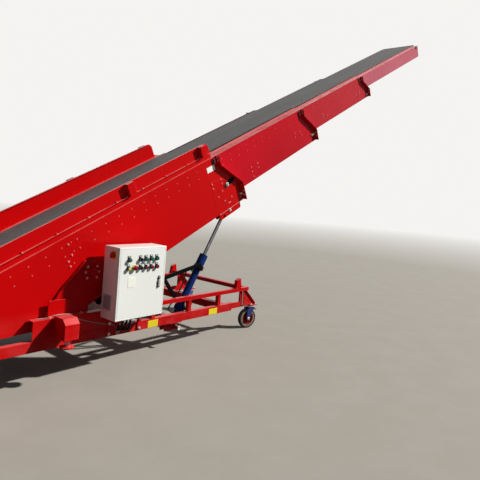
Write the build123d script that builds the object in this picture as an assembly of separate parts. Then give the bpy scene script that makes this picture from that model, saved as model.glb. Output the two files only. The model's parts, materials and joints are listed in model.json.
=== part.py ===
from build123d import *
import math
import os

# Mobile telescopic conveyor, in millimetres
# Working frame: the boom's pivot axis is over x = 0, +X is the way the boom points,
# y = 0 is the middle plane and z = 0 is the floor.
# Boom frame: u runs along the boom, v square to it and up, both from the pivot.

# Boom attitude
BOOM_ANGLE = 26.4
PIVOT_HEIGHT = 815
PIVOT_PIN_RADIUS = 30
PIVOT_FLANGE_RADIUS = 88
RUNNING_FIT = 0.05
PLATE_CLEARANCE = 6

# Boom stages, shared sizes
STAGE_1_WIDTH = 940
STAGE_SIDE_STEP = 40
STAGE_TOP_DROP = 15
STAGE_1_TOP = 370
PANEL_THICKNESS = 5
TOP_FLANGE_THICKNESS = 4
TIP_FLANGE_WIDTH = 30
FRONT_FLANGE_WIDTH = 50
BOTTOM_FLANGE_WIDTH = 38
BELT_EDGE_GAP = 20
BELT_THICKNESS = 5
BELT_RISE = 28
RUNNER_THICKNESS = 5
RUNNER_GAP = 5
BED_THICKNESS = 3
CROSS_TUBE = 40
CROSS_TUBE_HEIGHT = 30
CROSS_TUBE_WALL = 4
CROSS_TUBE_COUNT = 4
CROSS_TUBE_REAR = 60
BELLY_TUBE_REAR = 120
CROSS_TUBE_FRONT = 120
STAGE_TRAVEL = 1700

# Boom stages, one row each: tail u, upper front u, lower front u, upper knee v, lower knee v, bottom v
STAGES = {
    1: (-1300, 1755, 2030, 268, -39, -250),
    2: (1005, 3530, 3775, 264, 8, -142),
    3: (2790, 5412, 5600, 262, 97, -24),
    4: (4670, 8080, 8080, 262, 160, 113),
}
TAIL, UPPER_FRONT, LOWER_FRONT, UPPER_KNEE, LOWER_KNEE, BOTTOM = range(6)
STAGE_1_TAIL_BOTTOM = 130
STAGE_1_BELLY_START = -430
BELT_WIDTH = STAGE_1_WIDTH - 2 * (STAGE_SIDE_STEP * (len(STAGES) - 1) + TIP_FLANGE_WIDTH + BELT_EDGE_GAP)

# Slide pads between each stage and the next
PAD_GAP = 0.5
PAD_LENGTH = 120
PAD_SETBACKS = (330, 90)
PAD_LOW = 150
PAD_HIGH = 210
PAD_LAP = 30
PAD_HEIGHT = 40

# Belt guards on stage 1
GUARD_HEIGHT = 165
GUARD_THICKNESS = 5
GUARD_INSET = 20
GUARD_TOP_FLANGE = 25
GUARD_CORNER_RADIUS = 60
GUARD_FRONT = 1700
GUARD_REAR = -1160
GUARD_LEDGE_HEIGHT = 52
GUARD_POST_LENGTH = 75
GUARD_POST_DEPTH = 45
GUARD_POST_CENTRES = (-880, 620, 1585)

# Drums
TAIL_DRUM_RADIUS = 80
TAIL_DRUM_U = -1150
DRUM_SHAFT_RADIUS = 16
TIP_DRUM_RADIUS = 44
TIP_DRUM_U = 7985
DRUM_BELT_GAP = 0.3
REAR_DRUM_SETBACK = 90
DRUM_BED_GAP = 30
DRUM_END_MARGIN = 10
TIP_DRUM_END_MARGIN = 2
BEARING_BLOCK_SIZE = 90
BEARING_BLOCK_DEPTH = 45
GEARBOX_SIZE = 130
GEARBOX_DEPTH = 90
MOTOR_RADIUS = 42
MOTOR_LENGTH = 260

# Base frame
RAIL_STANDOFF = 80
RAIL_OUTER_Y = STAGE_1_WIDTH / 2 + RAIL_STANDOFF
RAIL_WIDTH = 50
RAIL_WALL = 5
LOWER_RAIL_BOTTOM = 259
LOWER_RAIL_HEIGHT = 80
LOWER_RAIL_REAR = -1450
LOWER_RAIL_FRONT = 1790
LOWER_RAIL_SLANT = 35
UPPER_RAIL = 40
UPPER_RAIL_WALL = 4
UPPER_RAIL_TOP = 492
UPPER_RAIL_REAR = 262
UPPER_RAIL_FRONT = 2040
POST_CENTRES = (640, 1108, 1547)
SIDE_PLATE_REAR = -520
SIDE_PLATE_WALL = 6
DECK_OVERLAP = 18
CROSS_MEMBER_CENTRES = (-1300, -250, 330, 830, 1660)
CROSS_MEMBER_WIDTH = 60
REST_TUBE_RADIUS = 24
REST_TUBE_SINK = 10
REST_X = 1860
REST_STUB_HEIGHT = 110
REST_STUB_WIDTH = 96
REST_STUB_TAPER = 20

# Pillars that carry the boom's pivot: distances behind and ahead of the pivot, heights from deck or pivot
PILLAR_THICKNESS = 20
PILLAR_FOOT_REAR = 400
PILLAR_FOOT_FRONT = -25
PILLAR_TOE_HEIGHT = 75
PILLAR_NOSE_X = 95
PILLAR_NOSE_HEIGHT = 115
PILLAR_FRONT = 130
PILLAR_FRONT_DROP = 60
PILLAR_SHOULDER_X = 90
PILLAR_SHOULDER_RISE = 60
PILLAR_CROWN_FRONT = 40
PILLAR_CROWN_REAR = 78
PILLAR_CROWN_RISE = 95
PILLAR_BACK = 290
PILLAR_BACK_DROP = 143
COLLAR_THICKNESS = 12
PIVOT_PIN_END = 30

# Wheels and castors
WHEEL_RADIUS = 112
WHEEL_WIDTH = 50
TREAD_DEPTH = 24
WHEEL_BORE_RADIUS = 10
TREAD_ROUNDING = 8
RIM_WIDTH = 12
RIM_INSET = 8
WEB_RECESS = 6
HUB_RADIUS = 24
CASTOR_OVERHANG = 110
CASTOR_X = UPPER_RAIL_FRONT + CASTOR_OVERHANG
CASTOR_INSET = 45
CASTOR_Y = RAIL_OUTER_Y - CASTOR_INSET
CASTOR_TRAIL = 38
CASTOR_TURN = -15
CASTOR_TOP = 267
CASTOR_PLATE_WIDTH = 110
CASTOR_PLATE_THICKNESS = 10
CASTOR_WEB_INSET = 16
CASTOR_WEB_THICKNESS = 8
STRUT_LAP = 120
STRUT_HEIGHT = 60
STRUT_INSET = 30
CAP_WIDTH = 50
CAP_TOP_SETBACK = 26
FORK_SIDE_GAP = 5
FORK_LEG = 6
FORK_LEG_WIDTH = 38
FORK_BRIDGE_HALF = 42
FORK_BRIDGE_THICKNESS = 8
FORK_SHOULDER = 36
SWIVEL_RADIUS = 34
AXLE_END = 9
SWIVEL_GAP = 0.5
REAR_WHEEL_SETBACK = 160
REAR_WHEEL_X = LOWER_RAIL_REAR + REAR_WHEEL_SETBACK
REAR_WHEEL_INSET = 50
REAR_WHEEL_Y = RAIL_OUTER_Y - REAR_WHEEL_INSET

# Stabiliser jacks
JACK_X = -292
JACK_WIDTH = 120
JACK_BOTTOM = 352
JACK_TOP = 512
JACK_STANDOFF = 102
JACK_Y = RAIL_OUTER_Y + JACK_STANDOFF
JACK_CHAMFER = 40
JACK_SCREW_RADIUS = 18
JACK_FOOT_RADIUS = 55
JACK_FOOT_HEIGHT = 282
JACK_FOOT_THICKNESS = 10

# Lift cylinders
CYLINDER_INSET = 120
CYLINDER_Y = RAIL_OUTER_Y - CYLINDER_INSET
FOOT_PIN_X = 978
FOOT_PIN_DROP = 65
FOOT_PIN_Z = LOWER_RAIL_BOTTOM - FOOT_PIN_DROP
ROD_PIN_U = 1685
ROD_PIN_V = -291
CYLINDER_PIN_RADIUS = 16
CYLINDER_EYE_RADIUS = 26
CYLINDER_EYE_WIDTH = 50
BARREL_RADIUS = 36
BARREL_START = 80
BARREL_NECK_HEIGHT = 52
BARREL_LENGTH = 790
GLAND_RADIUS = 45
GLAND_LENGTH = 120
GLAND_LIP = 10
ROD_RADIUS = 18
ROD_INSERTION = 640
ROD_STROKE = 420
ROD_EYE_LAP = 6
CLEVIS_PLATE = 10
CLEVIS_SIDE_GAP = 1
ROD_BRACKET_REAR = 85
ROD_BRACKET_NOSE = 14
ROD_BRACKET_WEB_START = 90
ROD_BRACKET_FRONT = 270
ROD_BRACKET_DEPTH = 41
ROD_BRACKET_HEAD_START = 65
PIN_HEAD = 10

# Clevis under each lower rail for the cylinder's foot pin
FOOT_REAR = 124
FOOT_TOE = 110
FOOT_HEEL = 20
FOOT_FRONT = 34
FOOT_DEPTH = 35
FOOT_PLATE_THICKNESS = 8
FOOT_PLATE_LAP = 5
FOOT_SLOT_REAR = 60

# Hose arm beside each barrel, from eye to elbow to upper clamp, measured along and off the barrel
HOSE_ARM_WIDTH = 36
HOSE_ARM_THICKNESS = 16
HOSE_ARM_GAP = 12
HOSE_ARM_LOW = 190
HOSE_ARM_LOW_RISE = 30
HOSE_ARM_ELBOW_ALONG = 330
HOSE_ARM_ELBOW_RISE = 413
HOSE_ARM_HIGH = 662
HOSE_ARM_HIGH_RISE = 50
CLAMP_LENGTH = 44
CLAMP_HIGH_SETBACK = 22
CLAMP_DEPTH = 15
CLAMP_LOW = 15
CLAMP_RISE = 52

# Control cabinet
CABINET_X = 62
CABINET_WIDTH = 500
CABINET_HEIGHT = 600
CABINET_DEPTH = 200
CABINET_BOTTOM = 442
CABINET_FRONT_Y = -RAIL_OUTER_Y - CABINET_DEPTH
CABINET_WALL = 2.5
DOOR_THICKNESS = 20
DOOR_SHEET = 2
DOOR_GAP = 0.3
BUTTON_RADIUS = 14
BUTTON_LENGTH = 28
MUSHROOM_RADIUS = 22
MUSHROOM_LENGTH = 14
HANDLE_INSET = 65
HANDLE_HEIGHT = 292
HANDLE_WIDTH = 24
HANDLE_LENGTH = 100
HANDLE_DEPTH = 16
SWITCH_DROP = 62
SWITCH_SETBACK = 75
SWITCH_PLATE = 70
SWITCH_PLATE_DEPTH = 6
SWITCH_GRIP_WIDTH = 20
SWITCH_GRIP_LENGTH = 56
SWITCH_GRIP_DEPTH = 34
LEG_WIDTH = 40
LEG_INSET = 90
LEG_SETBACK = 60
LEG_PLATE = 12
LEG_FOOT_RISE = 10
# Control rows: distance of each control from the door's hinge edge, and drop from the door's top
UPPER_CONTROLS = (100, 215, 272, 331, 391)
LOWER_CONTROLS = (95, 218, 278, 334, 395)
UPPER_CONTROL_DROP = 102
LOWER_CONTROL_DROP = 172
STOP_CONTROL_X = 159
STOP_CONTROL_DROP = 168

# Hydraulic power unit
TANK_LENGTH = 420
TANK_WIDTH = 320
TANK_HEIGHT = 230
TANK_X = 520
TANK_Y = 170
PUMP_MOTOR_RADIUS = 80
PUMP_MOTOR_LENGTH = 300

# Conduits from the cabinet's floor to the rear frame side
CONDUIT_RADIUS = 11
CONDUIT_SPACING = 40
CONDUIT_COUNT = 3
CONDUIT_ENTRY_X = 268
CONDUIT_BACK_INSET = 60
CONDUIT_DROP = 143
CONDUIT_STEP_UP = 6
CONDUIT_BEND_SHARE = 0.9

nodes = {}


# Shape helpers

def block(x0, x1, y0, y1, z0, z1):
    return Pos((x0 + x1) / 2, (y0 + y1) / 2, (z0 + z1) / 2) * Box(x1 - x0, y1 - y0, z1 - z0)


def plate(points, y0, y1):
    face = Plane.XZ.offset(-y1) * make_face(Polyline(*points, close=True))
    return extrude(face, amount=y1 - y0)


def cylinder_y(x, z, radius, y0, y1):
    return Pos(x, (y0 + y1) / 2, z) * Rot(90, 0, 0) * Cylinder(radius, y1 - y0)


def cylinder_z(x, y, radius, z0, z1):
    return Pos(x, y, (z0 + z1) / 2) * Cylinder(radius, z1 - z0)


def tube_y(x, z, outer, inner, y0, y1):
    return cylinder_y(x, z, outer, y0, y1) - cylinder_y(x, z, inner, y0, y1)


def box_tube_y(x, width, half, z0, z1, wall):
    tube = block(x - width / 2, x + width / 2, -half, half, z0, z1)
    return tube - block(x - width / 2 + wall, x + width / 2 - wall, -half, half, z0 + wall, z1 - wall)


def mirrored(shape):
    return mirror(shape, about=Plane.XZ)


def on_boom(shape):
    return Pos(0, 0, PIVOT_HEIGHT) * Rot(0, -BOOM_ANGLE, 0) * shape


def boom_point(u, v):
    angle = math.radians(BOOM_ANGLE)
    return (u * math.cos(angle) - v * math.sin(angle),
            PIVOT_HEIGHT + u * math.sin(angle) + v * math.cos(angle))


def keep(name, *shapes):
    nodes[name] = [solid for shape in shapes for solid in shape.solids()]


def keep_on_boom(name, shapes):
    keep(name, *[on_boom(shape) for shape in shapes])


# Boom stages

def stage_width(number):
    return STAGE_1_WIDTH - 2 * STAGE_SIDE_STEP * (number - 1)


def stage_top(number):
    return STAGE_1_TOP - STAGE_TOP_DROP * (number - 1)


def front_edge(number):
    row = STAGES[number]
    return [(row[UPPER_FRONT], stage_top(number)), (row[UPPER_FRONT], row[UPPER_KNEE]),
            (row[LOWER_FRONT], row[LOWER_KNEE]), (row[LOWER_FRONT], row[BOTTOM])]


def side_web(number):
    row = STAGES[number]
    half = stage_width(number) / 2
    top = stage_top(number)
    if number == 1:
        rear = [(STAGE_1_BELLY_START, row[BOTTOM]), (row[TAIL], STAGE_1_TAIL_BOTTOM), (row[TAIL], top)]
    else:
        rear = [(row[TAIL], row[BOTTOM]), (row[TAIL], top)]
    if number == 4:
        front = [(row[UPPER_FRONT], top), (row[UPPER_FRONT], row[BOTTOM])]
    else:
        front = front_edge(number)
    return plate(front + rear, -half, -half + PANEL_THICKNESS)


def front_flange(number):
    edge = front_edge(number)
    face = -stage_width(number) / 2
    strips = []
    for (u0, v0), (u1, v1) in zip(edge, edge[1:]):
        outline = [(u0, v0), (u1, v1), (u1 - PANEL_THICKNESS, v1), (u0 - PANEL_THICKNESS, v0)]
        strips.append(plate(outline, face - FRONT_FLANGE_WIDTH, face))
    return strips


def side_panel(number):
    row = STAGES[number]
    half = stage_width(number) / 2
    top = stage_top(number)
    web_inner = -half + PANEL_THICKNESS
    flange_inner = -runner_inner(number)
    flange_front = row[UPPER_FRONT] if number < 4 else TIP_DRUM_U
    top_flange = block(row[TAIL], flange_front, web_inner, flange_inner, top - TOP_FLANGE_THICKNESS, top)
    foot_rear = STAGE_1_BELLY_START if number == 1 else row[TAIL]
    foot_inner = -half + min(BOTTOM_FLANGE_WIDTH, STAGE_SIDE_STEP - 1)
    foot_top = row[BOTTOM] + PANEL_THICKNESS
    foot = block(foot_rear, row[LOWER_FRONT], web_inner, foot_inner, row[BOTTOM], foot_top)
    pieces = [side_web(number), top_flange, foot]
    if number < 4:
        pieces += front_flange(number)
    return pieces


def runner_inner(number):
    step = RUNNER_THICKNESS + RUNNER_GAP
    return BELT_WIDTH / 2 + RUNNER_GAP + step * (len(STAGES) - number)


def belt_span(number):
    high = stage_top(number) + BELT_RISE
    return high - BELT_THICKNESS, high


def bed_span(number):
    row = STAGES[number]
    rear = TAIL_DRUM_U + TAIL_DRUM_RADIUS + DRUM_BED_GAP if number == 1 else row[TAIL]
    front = TIP_DRUM_U - TIP_DRUM_RADIUS - DRUM_BED_GAP if number == 4 else row[UPPER_FRONT]
    if number == 4:
        rear = row[TAIL] + REAR_DRUM_SETBACK + TIP_DRUM_RADIUS + DRUM_BED_GAP
    return rear, front


def stage_bed(number):
    row = STAGES[number]
    inner = stage_width(number) / 2 - PANEL_THICKNESS
    high = belt_span(number)[0]
    low = high - BED_THICKNESS
    rear, front = bed_span(number)
    runner_face = runner_inner(number)
    outer = runner_face + RUNNER_THICKNESS
    sheet = block(rear, front, -outer, outer, low, high)
    runner = block(rear, front, -outer, -runner_face, stage_top(number), low)
    pieces = [sheet, runner, mirrored(runner)]
    tube_rear = STAGE_1_BELLY_START + BELLY_TUBE_REAR if number == 1 else row[TAIL] + CROSS_TUBE_REAR
    tube_front = row[LOWER_FRONT] - CROSS_TUBE_FRONT
    low_v = row[BOTTOM] + PANEL_THICKNESS
    high_v = low_v + CROSS_TUBE_HEIGHT
    for index in range(CROSS_TUBE_COUNT):
        u = tube_rear + (tube_front - tube_rear) * index / (CROSS_TUBE_COUNT - 1)
        pieces.append(box_tube_y(u, CROSS_TUBE, inner, low_v, high_v, CROSS_TUBE_WALL))
    return pieces


def stage_belt(number):
    low, high = belt_span(number)
    half = BELT_WIDTH / 2
    if number == 1:
        radius = TAIL_DRUM_RADIUS + DRUM_BELT_GAP
        run = block(TAIL_DRUM_U, STAGES[1][UPPER_FRONT], -half, half, low, high)
        return [run, belt_wrap(TAIL_DRUM_U, low - radius, radius, half, -1)]
    if number == 4:
        radius = TIP_DRUM_RADIUS + DRUM_BELT_GAP
        axis = low - radius
        rear = STAGES[4][TAIL] + REAR_DRUM_SETBACK
        under = axis - radius
        return [block(rear, TIP_DRUM_U, -half, half, low, high),
                block(rear, TIP_DRUM_U, -half, half, under - BELT_THICKNESS, under),
                belt_wrap(rear, axis, radius, half, -1), belt_wrap(TIP_DRUM_U, axis, radius, half, 1)]
    rear, front = bed_span(number)
    return [block(rear, front, -half, half, low, high)]


def belt_wrap(axis_u, axis_v, radius, half, side):
    reach = radius + BELT_THICKNESS
    wrap = tube_y(axis_u, axis_v, reach, radius, -half, half)
    far = axis_u - side * reach
    return wrap - block(min(axis_u, far), max(axis_u, far), -half, half, axis_v - reach, axis_v + reach)


def drum(axis_u, axis_v, radius, half, shaft_half):
    body = cylinder_y(axis_u, axis_v, radius, -half, half)
    body += cylinder_y(axis_u, axis_v, DRUM_SHAFT_RADIUS, -shaft_half, shaft_half)
    return body


def slide_pads(number):
    row = STAGES[number]
    inner_half = stage_width(number) / 2 - PANEL_THICKNESS
    next_half = stage_width(number + 1) / 2
    next_bottom = STAGES[number + 1][BOTTOM]
    pads = []
    for setback in PAD_SETBACKS:
        u0 = row[UPPER_FRONT] - setback - PAD_LENGTH / 2
        u1 = u0 + PAD_LENGTH
        side = block(u0, u1, -inner_half, -next_half - PAD_GAP, PAD_LOW, PAD_HIGH)
        pad_low = next_bottom - PAD_HEIGHT
        under = block(u0, u1, -inner_half, -next_half + PAD_LAP, pad_low, next_bottom - PAD_GAP)
        pads += [side, under, mirrored(side), mirrored(under)]
    return pads


def belt_guard():
    half = STAGE_1_WIDTH / 2
    top = STAGE_1_TOP + GUARD_HEIGHT
    outline = make_face(Polyline((GUARD_REAR, STAGE_1_TOP), (GUARD_FRONT, STAGE_1_TOP),
                                 (GUARD_FRONT, top), (GUARD_REAR, top), close=True))
    corners = outline.vertices().group_by(Axis.Y)[-1]
    outline = fillet(corners, radius=GUARD_CORNER_RADIUS)
    outer = -half + GUARD_INSET
    panel = extrude(Plane.XZ.offset(-outer - GUARD_THICKNESS) * outline, amount=GUARD_THICKNESS)
    fold = block(GUARD_REAR + GUARD_CORNER_RADIUS, GUARD_FRONT - GUARD_CORNER_RADIUS,
                 outer + GUARD_THICKNESS, outer + GUARD_TOP_FLANGE, top - GUARD_THICKNESS, top)
    lip_top = STAGE_1_TOP + GUARD_LEDGE_HEIGHT
    lip = block(GUARD_REAR, GUARD_FRONT, -half, outer, lip_top - GUARD_THICKNESS, lip_top)
    post_half = GUARD_POST_LENGTH / 2
    posts = [block(centre - post_half, centre + post_half, outer - GUARD_POST_DEPTH, outer, lip_top, top)
             for centre in GUARD_POST_CENTRES]
    return [panel, fold, lip] + posts


def pivot_boss():
    half = STAGE_1_WIDTH / 2
    return cylinder_y(0, 0, PIVOT_FLANGE_RADIUS, -half + PANEL_THICKNESS, -half + 3 * PANEL_THICKNESS)


def both_sides(shapes):
    return shapes + [mirrored(shape) for shape in shapes]


def build_boom():
    for number in STAGES:
        pieces = side_panel(number)
        if number == 1:
            hole = cylinder_y(0, 0, PIVOT_PIN_RADIUS + RUNNING_FIT, -STAGE_1_WIDTH, 0)
            pieces[0] -= hole
            pieces.append(pivot_boss() - hole)
        keep_on_boom(f"stage_{number}_side_panels", both_sides(pieces))
        keep_on_boom(f"stage_{number}_bed", stage_bed(number))
        keep_on_boom(f"stage_{number}_belt", stage_belt(number))
        if number < 4:
            keep_on_boom(f"stage_{number}_slide_pads", slide_pads(number))
    keep_on_boom("belt_guards", both_sides(belt_guard()))
    build_drums()
    build_rod_brackets()


def build_drums():
    half = BELT_WIDTH / 2
    inner_1 = STAGE_1_WIDTH / 2 - PANEL_THICKNESS
    tail_axis = belt_span(1)[0] - DRUM_BELT_GAP - TAIL_DRUM_RADIUS
    tail_drum = drum(TAIL_DRUM_U, tail_axis, TAIL_DRUM_RADIUS, half + DRUM_END_MARGIN, inner_1)
    keep_on_boom("tail_drum", [tail_drum])
    block_half = BEARING_BLOCK_SIZE / 2
    bearing_end = -inner_1 + BEARING_BLOCK_DEPTH
    bearing = block(TAIL_DRUM_U - block_half, TAIL_DRUM_U + block_half, -inner_1, bearing_end,
                    tail_axis - block_half, tail_axis + block_half)
    bearing -= cylinder_y(TAIL_DRUM_U, tail_axis, DRUM_SHAFT_RADIUS, -inner_1, bearing_end)
    keep_on_boom("tail_bearings", both_sides([bearing]))
    gearbox_y = inner_1 + PANEL_THICKNESS
    size = GEARBOX_SIZE / 2
    gearbox = block(TAIL_DRUM_U - size, TAIL_DRUM_U + size, gearbox_y, gearbox_y + GEARBOX_DEPTH,
                    tail_axis - size, tail_axis + size)
    motor_place = Pos(TAIL_DRUM_U + size + MOTOR_LENGTH / 2, gearbox_y + GEARBOX_DEPTH / 2, tail_axis)
    motor = motor_place * Rot(0, 90, 0) * Cylinder(MOTOR_RADIUS, MOTOR_LENGTH)
    keep_on_boom("drive_motor", [gearbox, motor])
    inner_4 = stage_width(4) / 2 - PANEL_THICKNESS
    axis_4 = belt_span(4)[0] - DRUM_BELT_GAP - TIP_DRUM_RADIUS
    rear_axis = STAGES[4][TAIL] + REAR_DRUM_SETBACK
    drum_half = half + TIP_DRUM_END_MARGIN
    drums = [drum(u, axis_4, TIP_DRUM_RADIUS, drum_half, inner_4) for u in (rear_axis, TIP_DRUM_U)]
    keep_on_boom("stage_4_drums", drums)


def build_rod_brackets():
    bottom = STAGES[1][BOTTOM]
    low = bottom - ROD_BRACKET_DEPTH - CYLINDER_EYE_RADIUS
    rear = ROD_PIN_U - ROD_BRACKET_REAR
    front = ROD_PIN_U + ROD_BRACKET_FRONT
    gap = CYLINDER_EYE_WIDTH / 2 + CLEVIS_SIDE_GAP
    outer_y = -CYLINDER_Y - gap
    inner_y = -CYLINDER_Y + gap
    corner = ROD_BRACKET_NOSE
    outline = [(rear, bottom), (rear, low + corner), (rear + corner, low), (front - corner, low),
               (front, low + corner), (front, bottom)]
    outer_face = outer_y - CLEVIS_PLATE
    inner_face = inner_y + CLEVIS_PLATE
    outer = plate(outline, outer_face, outer_y)
    outer += cylinder_y(ROD_PIN_U, ROD_PIN_V, CYLINDER_PIN_RADIUS, outer_face - PIN_HEAD, outer_face)
    inner = plate(outline, inner_y, inner_face)
    inner += cylinder_y(ROD_PIN_U, ROD_PIN_V, CYLINDER_PIN_RADIUS, inner_face, inner_face + PIN_HEAD)
    web = block(ROD_PIN_U + ROD_BRACKET_WEB_START, front - corner, outer_y, inner_y, low,
                low + CLEVIS_PLATE)
    head = block(ROD_PIN_U + ROD_BRACKET_HEAD_START, front, outer_y, inner_y, bottom - CLEVIS_PLATE, bottom)
    keep_on_boom("rod_brackets", both_sides([outer, inner, web, head]))


# Lift cylinders

def cylinder_line():
    x, z = boom_point(ROD_PIN_U, ROD_PIN_V)
    dx = x - FOOT_PIN_X
    dz = z - FOOT_PIN_Z
    return math.hypot(dx, dz), math.degrees(math.atan2(dz, dx))


def on_cylinder(shape):
    length, angle = cylinder_line()
    return Pos(FOOT_PIN_X, -CYLINDER_Y, FOOT_PIN_Z) * Rot(0, -angle, 0) * shape


def cylinder_x(radius, x0, x1):
    return Pos((x0 + x1) / 2, 0, 0) * Rot(0, 90, 0) * Cylinder(radius, x1 - x0)


def build_cylinders():
    length, angle = cylinder_line()
    eye_half = CYLINDER_EYE_WIDTH / 2
    bore = CYLINDER_PIN_RADIUS + RUNNING_FIT
    neck_half = BARREL_NECK_HEIGHT / 2
    barrel = cylinder_x(BARREL_RADIUS, BARREL_START, BARREL_LENGTH - GLAND_LIP)
    barrel += block(0, BARREL_START, -eye_half, eye_half, -neck_half, neck_half)
    barrel += cylinder_x(GLAND_RADIUS, BARREL_LENGTH - GLAND_LENGTH, BARREL_LENGTH)
    barrel += cylinder_y(0, 0, CYLINDER_EYE_RADIUS, -eye_half, eye_half)
    barrel -= cylinder_y(0, 0, bore, -eye_half, eye_half)
    rod_end = length - ROD_INSERTION
    barrel -= cylinder_x(ROD_RADIUS + RUNNING_FIT, rod_end - ROD_STROKE, BARREL_LENGTH)
    rod = cylinder_x(ROD_RADIUS, rod_end, length - CYLINDER_EYE_RADIUS + ROD_EYE_LAP)
    rod += cylinder_y(length, 0, CYLINDER_EYE_RADIUS, -eye_half, eye_half)
    arm = hose_arm()
    for side in ("right", "left"):
        turn = (lambda shape: shape) if side == "right" else mirrored
        keep(f"cylinder_barrel_{side}", turn(on_cylinder(barrel)))
        keep(f"cylinder_rod_{side}", turn(on_cylinder(rod)))
        keep(f"hose_arm_{side}", turn(on_cylinder(arm)))


def bar(start, end, width, y0, y1):
    dx = end[0] - start[0]
    dz = end[1] - start[1]
    length = math.hypot(dx, dz)
    slab = Box(length, y1 - y0, width)
    slab += Pos(-length / 2, 0, 0) * Rot(90, 0, 0) * Cylinder(width / 2, y1 - y0)
    slab += Pos(length / 2, 0, 0) * Rot(90, 0, 0) * Cylinder(width / 2, y1 - y0)
    middle = Pos((start[0] + end[0]) / 2, (y0 + y1) / 2, (start[1] + end[1]) / 2)
    return middle * Rot(0, -math.degrees(math.atan2(dz, dx)), 0) * slab


def hose_arm():
    y1 = -BARREL_RADIUS - HOSE_ARM_GAP
    y0 = y1 - HOSE_ARM_THICKNESS
    elbow = (HOSE_ARM_ELBOW_ALONG, HOSE_ARM_ELBOW_RISE)
    arm = bar((HOSE_ARM_LOW, HOSE_ARM_LOW_RISE), elbow, HOSE_ARM_WIDTH, y0, y1)
    arm += bar(elbow, (HOSE_ARM_HIGH, HOSE_ARM_HIGH_RISE), HOSE_ARM_WIDTH, y0, y1)
    for along in (HOSE_ARM_LOW, HOSE_ARM_HIGH - CLAMP_HIGH_SETBACK):
        clamp = block(along - CLAMP_LENGTH / 2, along + CLAMP_LENGTH / 2, y0, BARREL_RADIUS - CLAMP_DEPTH,
                      -CLAMP_LOW, CLAMP_RISE)
        clamp -= cylinder_x(BARREL_RADIUS, along - CLAMP_LENGTH, along + CLAMP_LENGTH)
        arm += clamp
    return arm


# Base frame

def lower_rail():
    low = LOWER_RAIL_BOTTOM
    top = low + LOWER_RAIL_HEIGHT
    outer = -RAIL_OUTER_Y
    inner = outer + RAIL_WIDTH
    foot_front = LOWER_RAIL_FRONT - LOWER_RAIL_SLANT

    def strip(z0, z1, y0, y1):
        ends = [foot_front + LOWER_RAIL_SLANT * (z - low) / LOWER_RAIL_HEIGHT for z in (z0, z1)]
        return plate([(LOWER_RAIL_REAR, z0), (ends[0], z0), (ends[1], z1), (LOWER_RAIL_REAR, z1)], y0, y1)
    return [strip(low, top, outer, outer + RAIL_WALL), strip(low, low + RAIL_WALL, outer + RAIL_WALL, inner),
            strip(top - RAIL_WALL, top, outer + RAIL_WALL, inner)]


def upper_rail():
    y0 = -RAIL_OUTER_Y
    y1 = y0 + UPPER_RAIL
    wall = UPPER_RAIL_WALL
    low = UPPER_RAIL_TOP - UPPER_RAIL
    rail = block(UPPER_RAIL_REAR, UPPER_RAIL_FRONT, y0, y1, low, UPPER_RAIL_TOP)
    rail -= block(UPPER_RAIL_REAR, UPPER_RAIL_FRONT, y0 + wall, y1 - wall, low + wall, UPPER_RAIL_TOP - wall)
    half = UPPER_RAIL / 2
    foot = LOWER_RAIL_BOTTOM + LOWER_RAIL_HEIGHT
    return [rail] + [block(centre - half, centre + half, y0, y1, foot, low) for centre in POST_CENTRES]


def rear_frame_side():
    y0 = -RAIL_OUTER_Y
    y1 = y0 + RAIL_WIDTH + DECK_OVERLAP
    low = LOWER_RAIL_BOTTOM + LOWER_RAIL_HEIGHT
    deck_low = UPPER_RAIL_TOP - SIDE_PLATE_WALL
    side = block(SIDE_PLATE_REAR, UPPER_RAIL_REAR, y0, y0 + SIDE_PLATE_WALL, low, UPPER_RAIL_TOP)
    pillar_face = -STAGE_1_WIDTH / 2 - PLATE_CLEARANCE - PILLAR_THICKNESS
    x0 = SIDE_PLATE_REAR
    x1 = UPPER_RAIL_REAR
    deck = block(x0, x1, y0 + SIDE_PLATE_WALL, pillar_face, deck_low, UPPER_RAIL_TOP)
    seat = block(x0, x1, pillar_face, y1, deck_low, UPPER_RAIL_TOP)
    return [side, deck, seat, pillar()]


def pillar():
    foot = UPPER_RAIL_TOP
    crown = PIVOT_HEIGHT + PILLAR_CROWN_RISE
    inner = -STAGE_1_WIDTH / 2 - PLATE_CLEARANCE
    outer = inner - PILLAR_THICKNESS
    outline = [(-PILLAR_FOOT_REAR, foot), (PILLAR_FOOT_FRONT, foot),
               (PILLAR_FOOT_FRONT, foot + PILLAR_TOE_HEIGHT), (PILLAR_NOSE_X, foot + PILLAR_NOSE_HEIGHT),
               (PILLAR_FRONT, PIVOT_HEIGHT - PILLAR_FRONT_DROP),
               (PILLAR_SHOULDER_X, PIVOT_HEIGHT + PILLAR_SHOULDER_RISE),
               (PILLAR_CROWN_FRONT, crown), (-PILLAR_CROWN_REAR, crown),
               (-PILLAR_BACK, PIVOT_HEIGHT - PILLAR_BACK_DROP)]
    shape = plate(outline, outer, inner)
    shape += cylinder_y(0, PIVOT_HEIGHT, PIVOT_FLANGE_RADIUS, outer - COLLAR_THICKNESS, inner)
    pin_end = -STAGE_1_WIDTH / 2 + 3 * PANEL_THICKNESS
    shape += cylinder_y(0, PIVOT_HEIGHT, PIVOT_PIN_RADIUS, outer - PIVOT_PIN_END, pin_end)
    return shape


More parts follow.
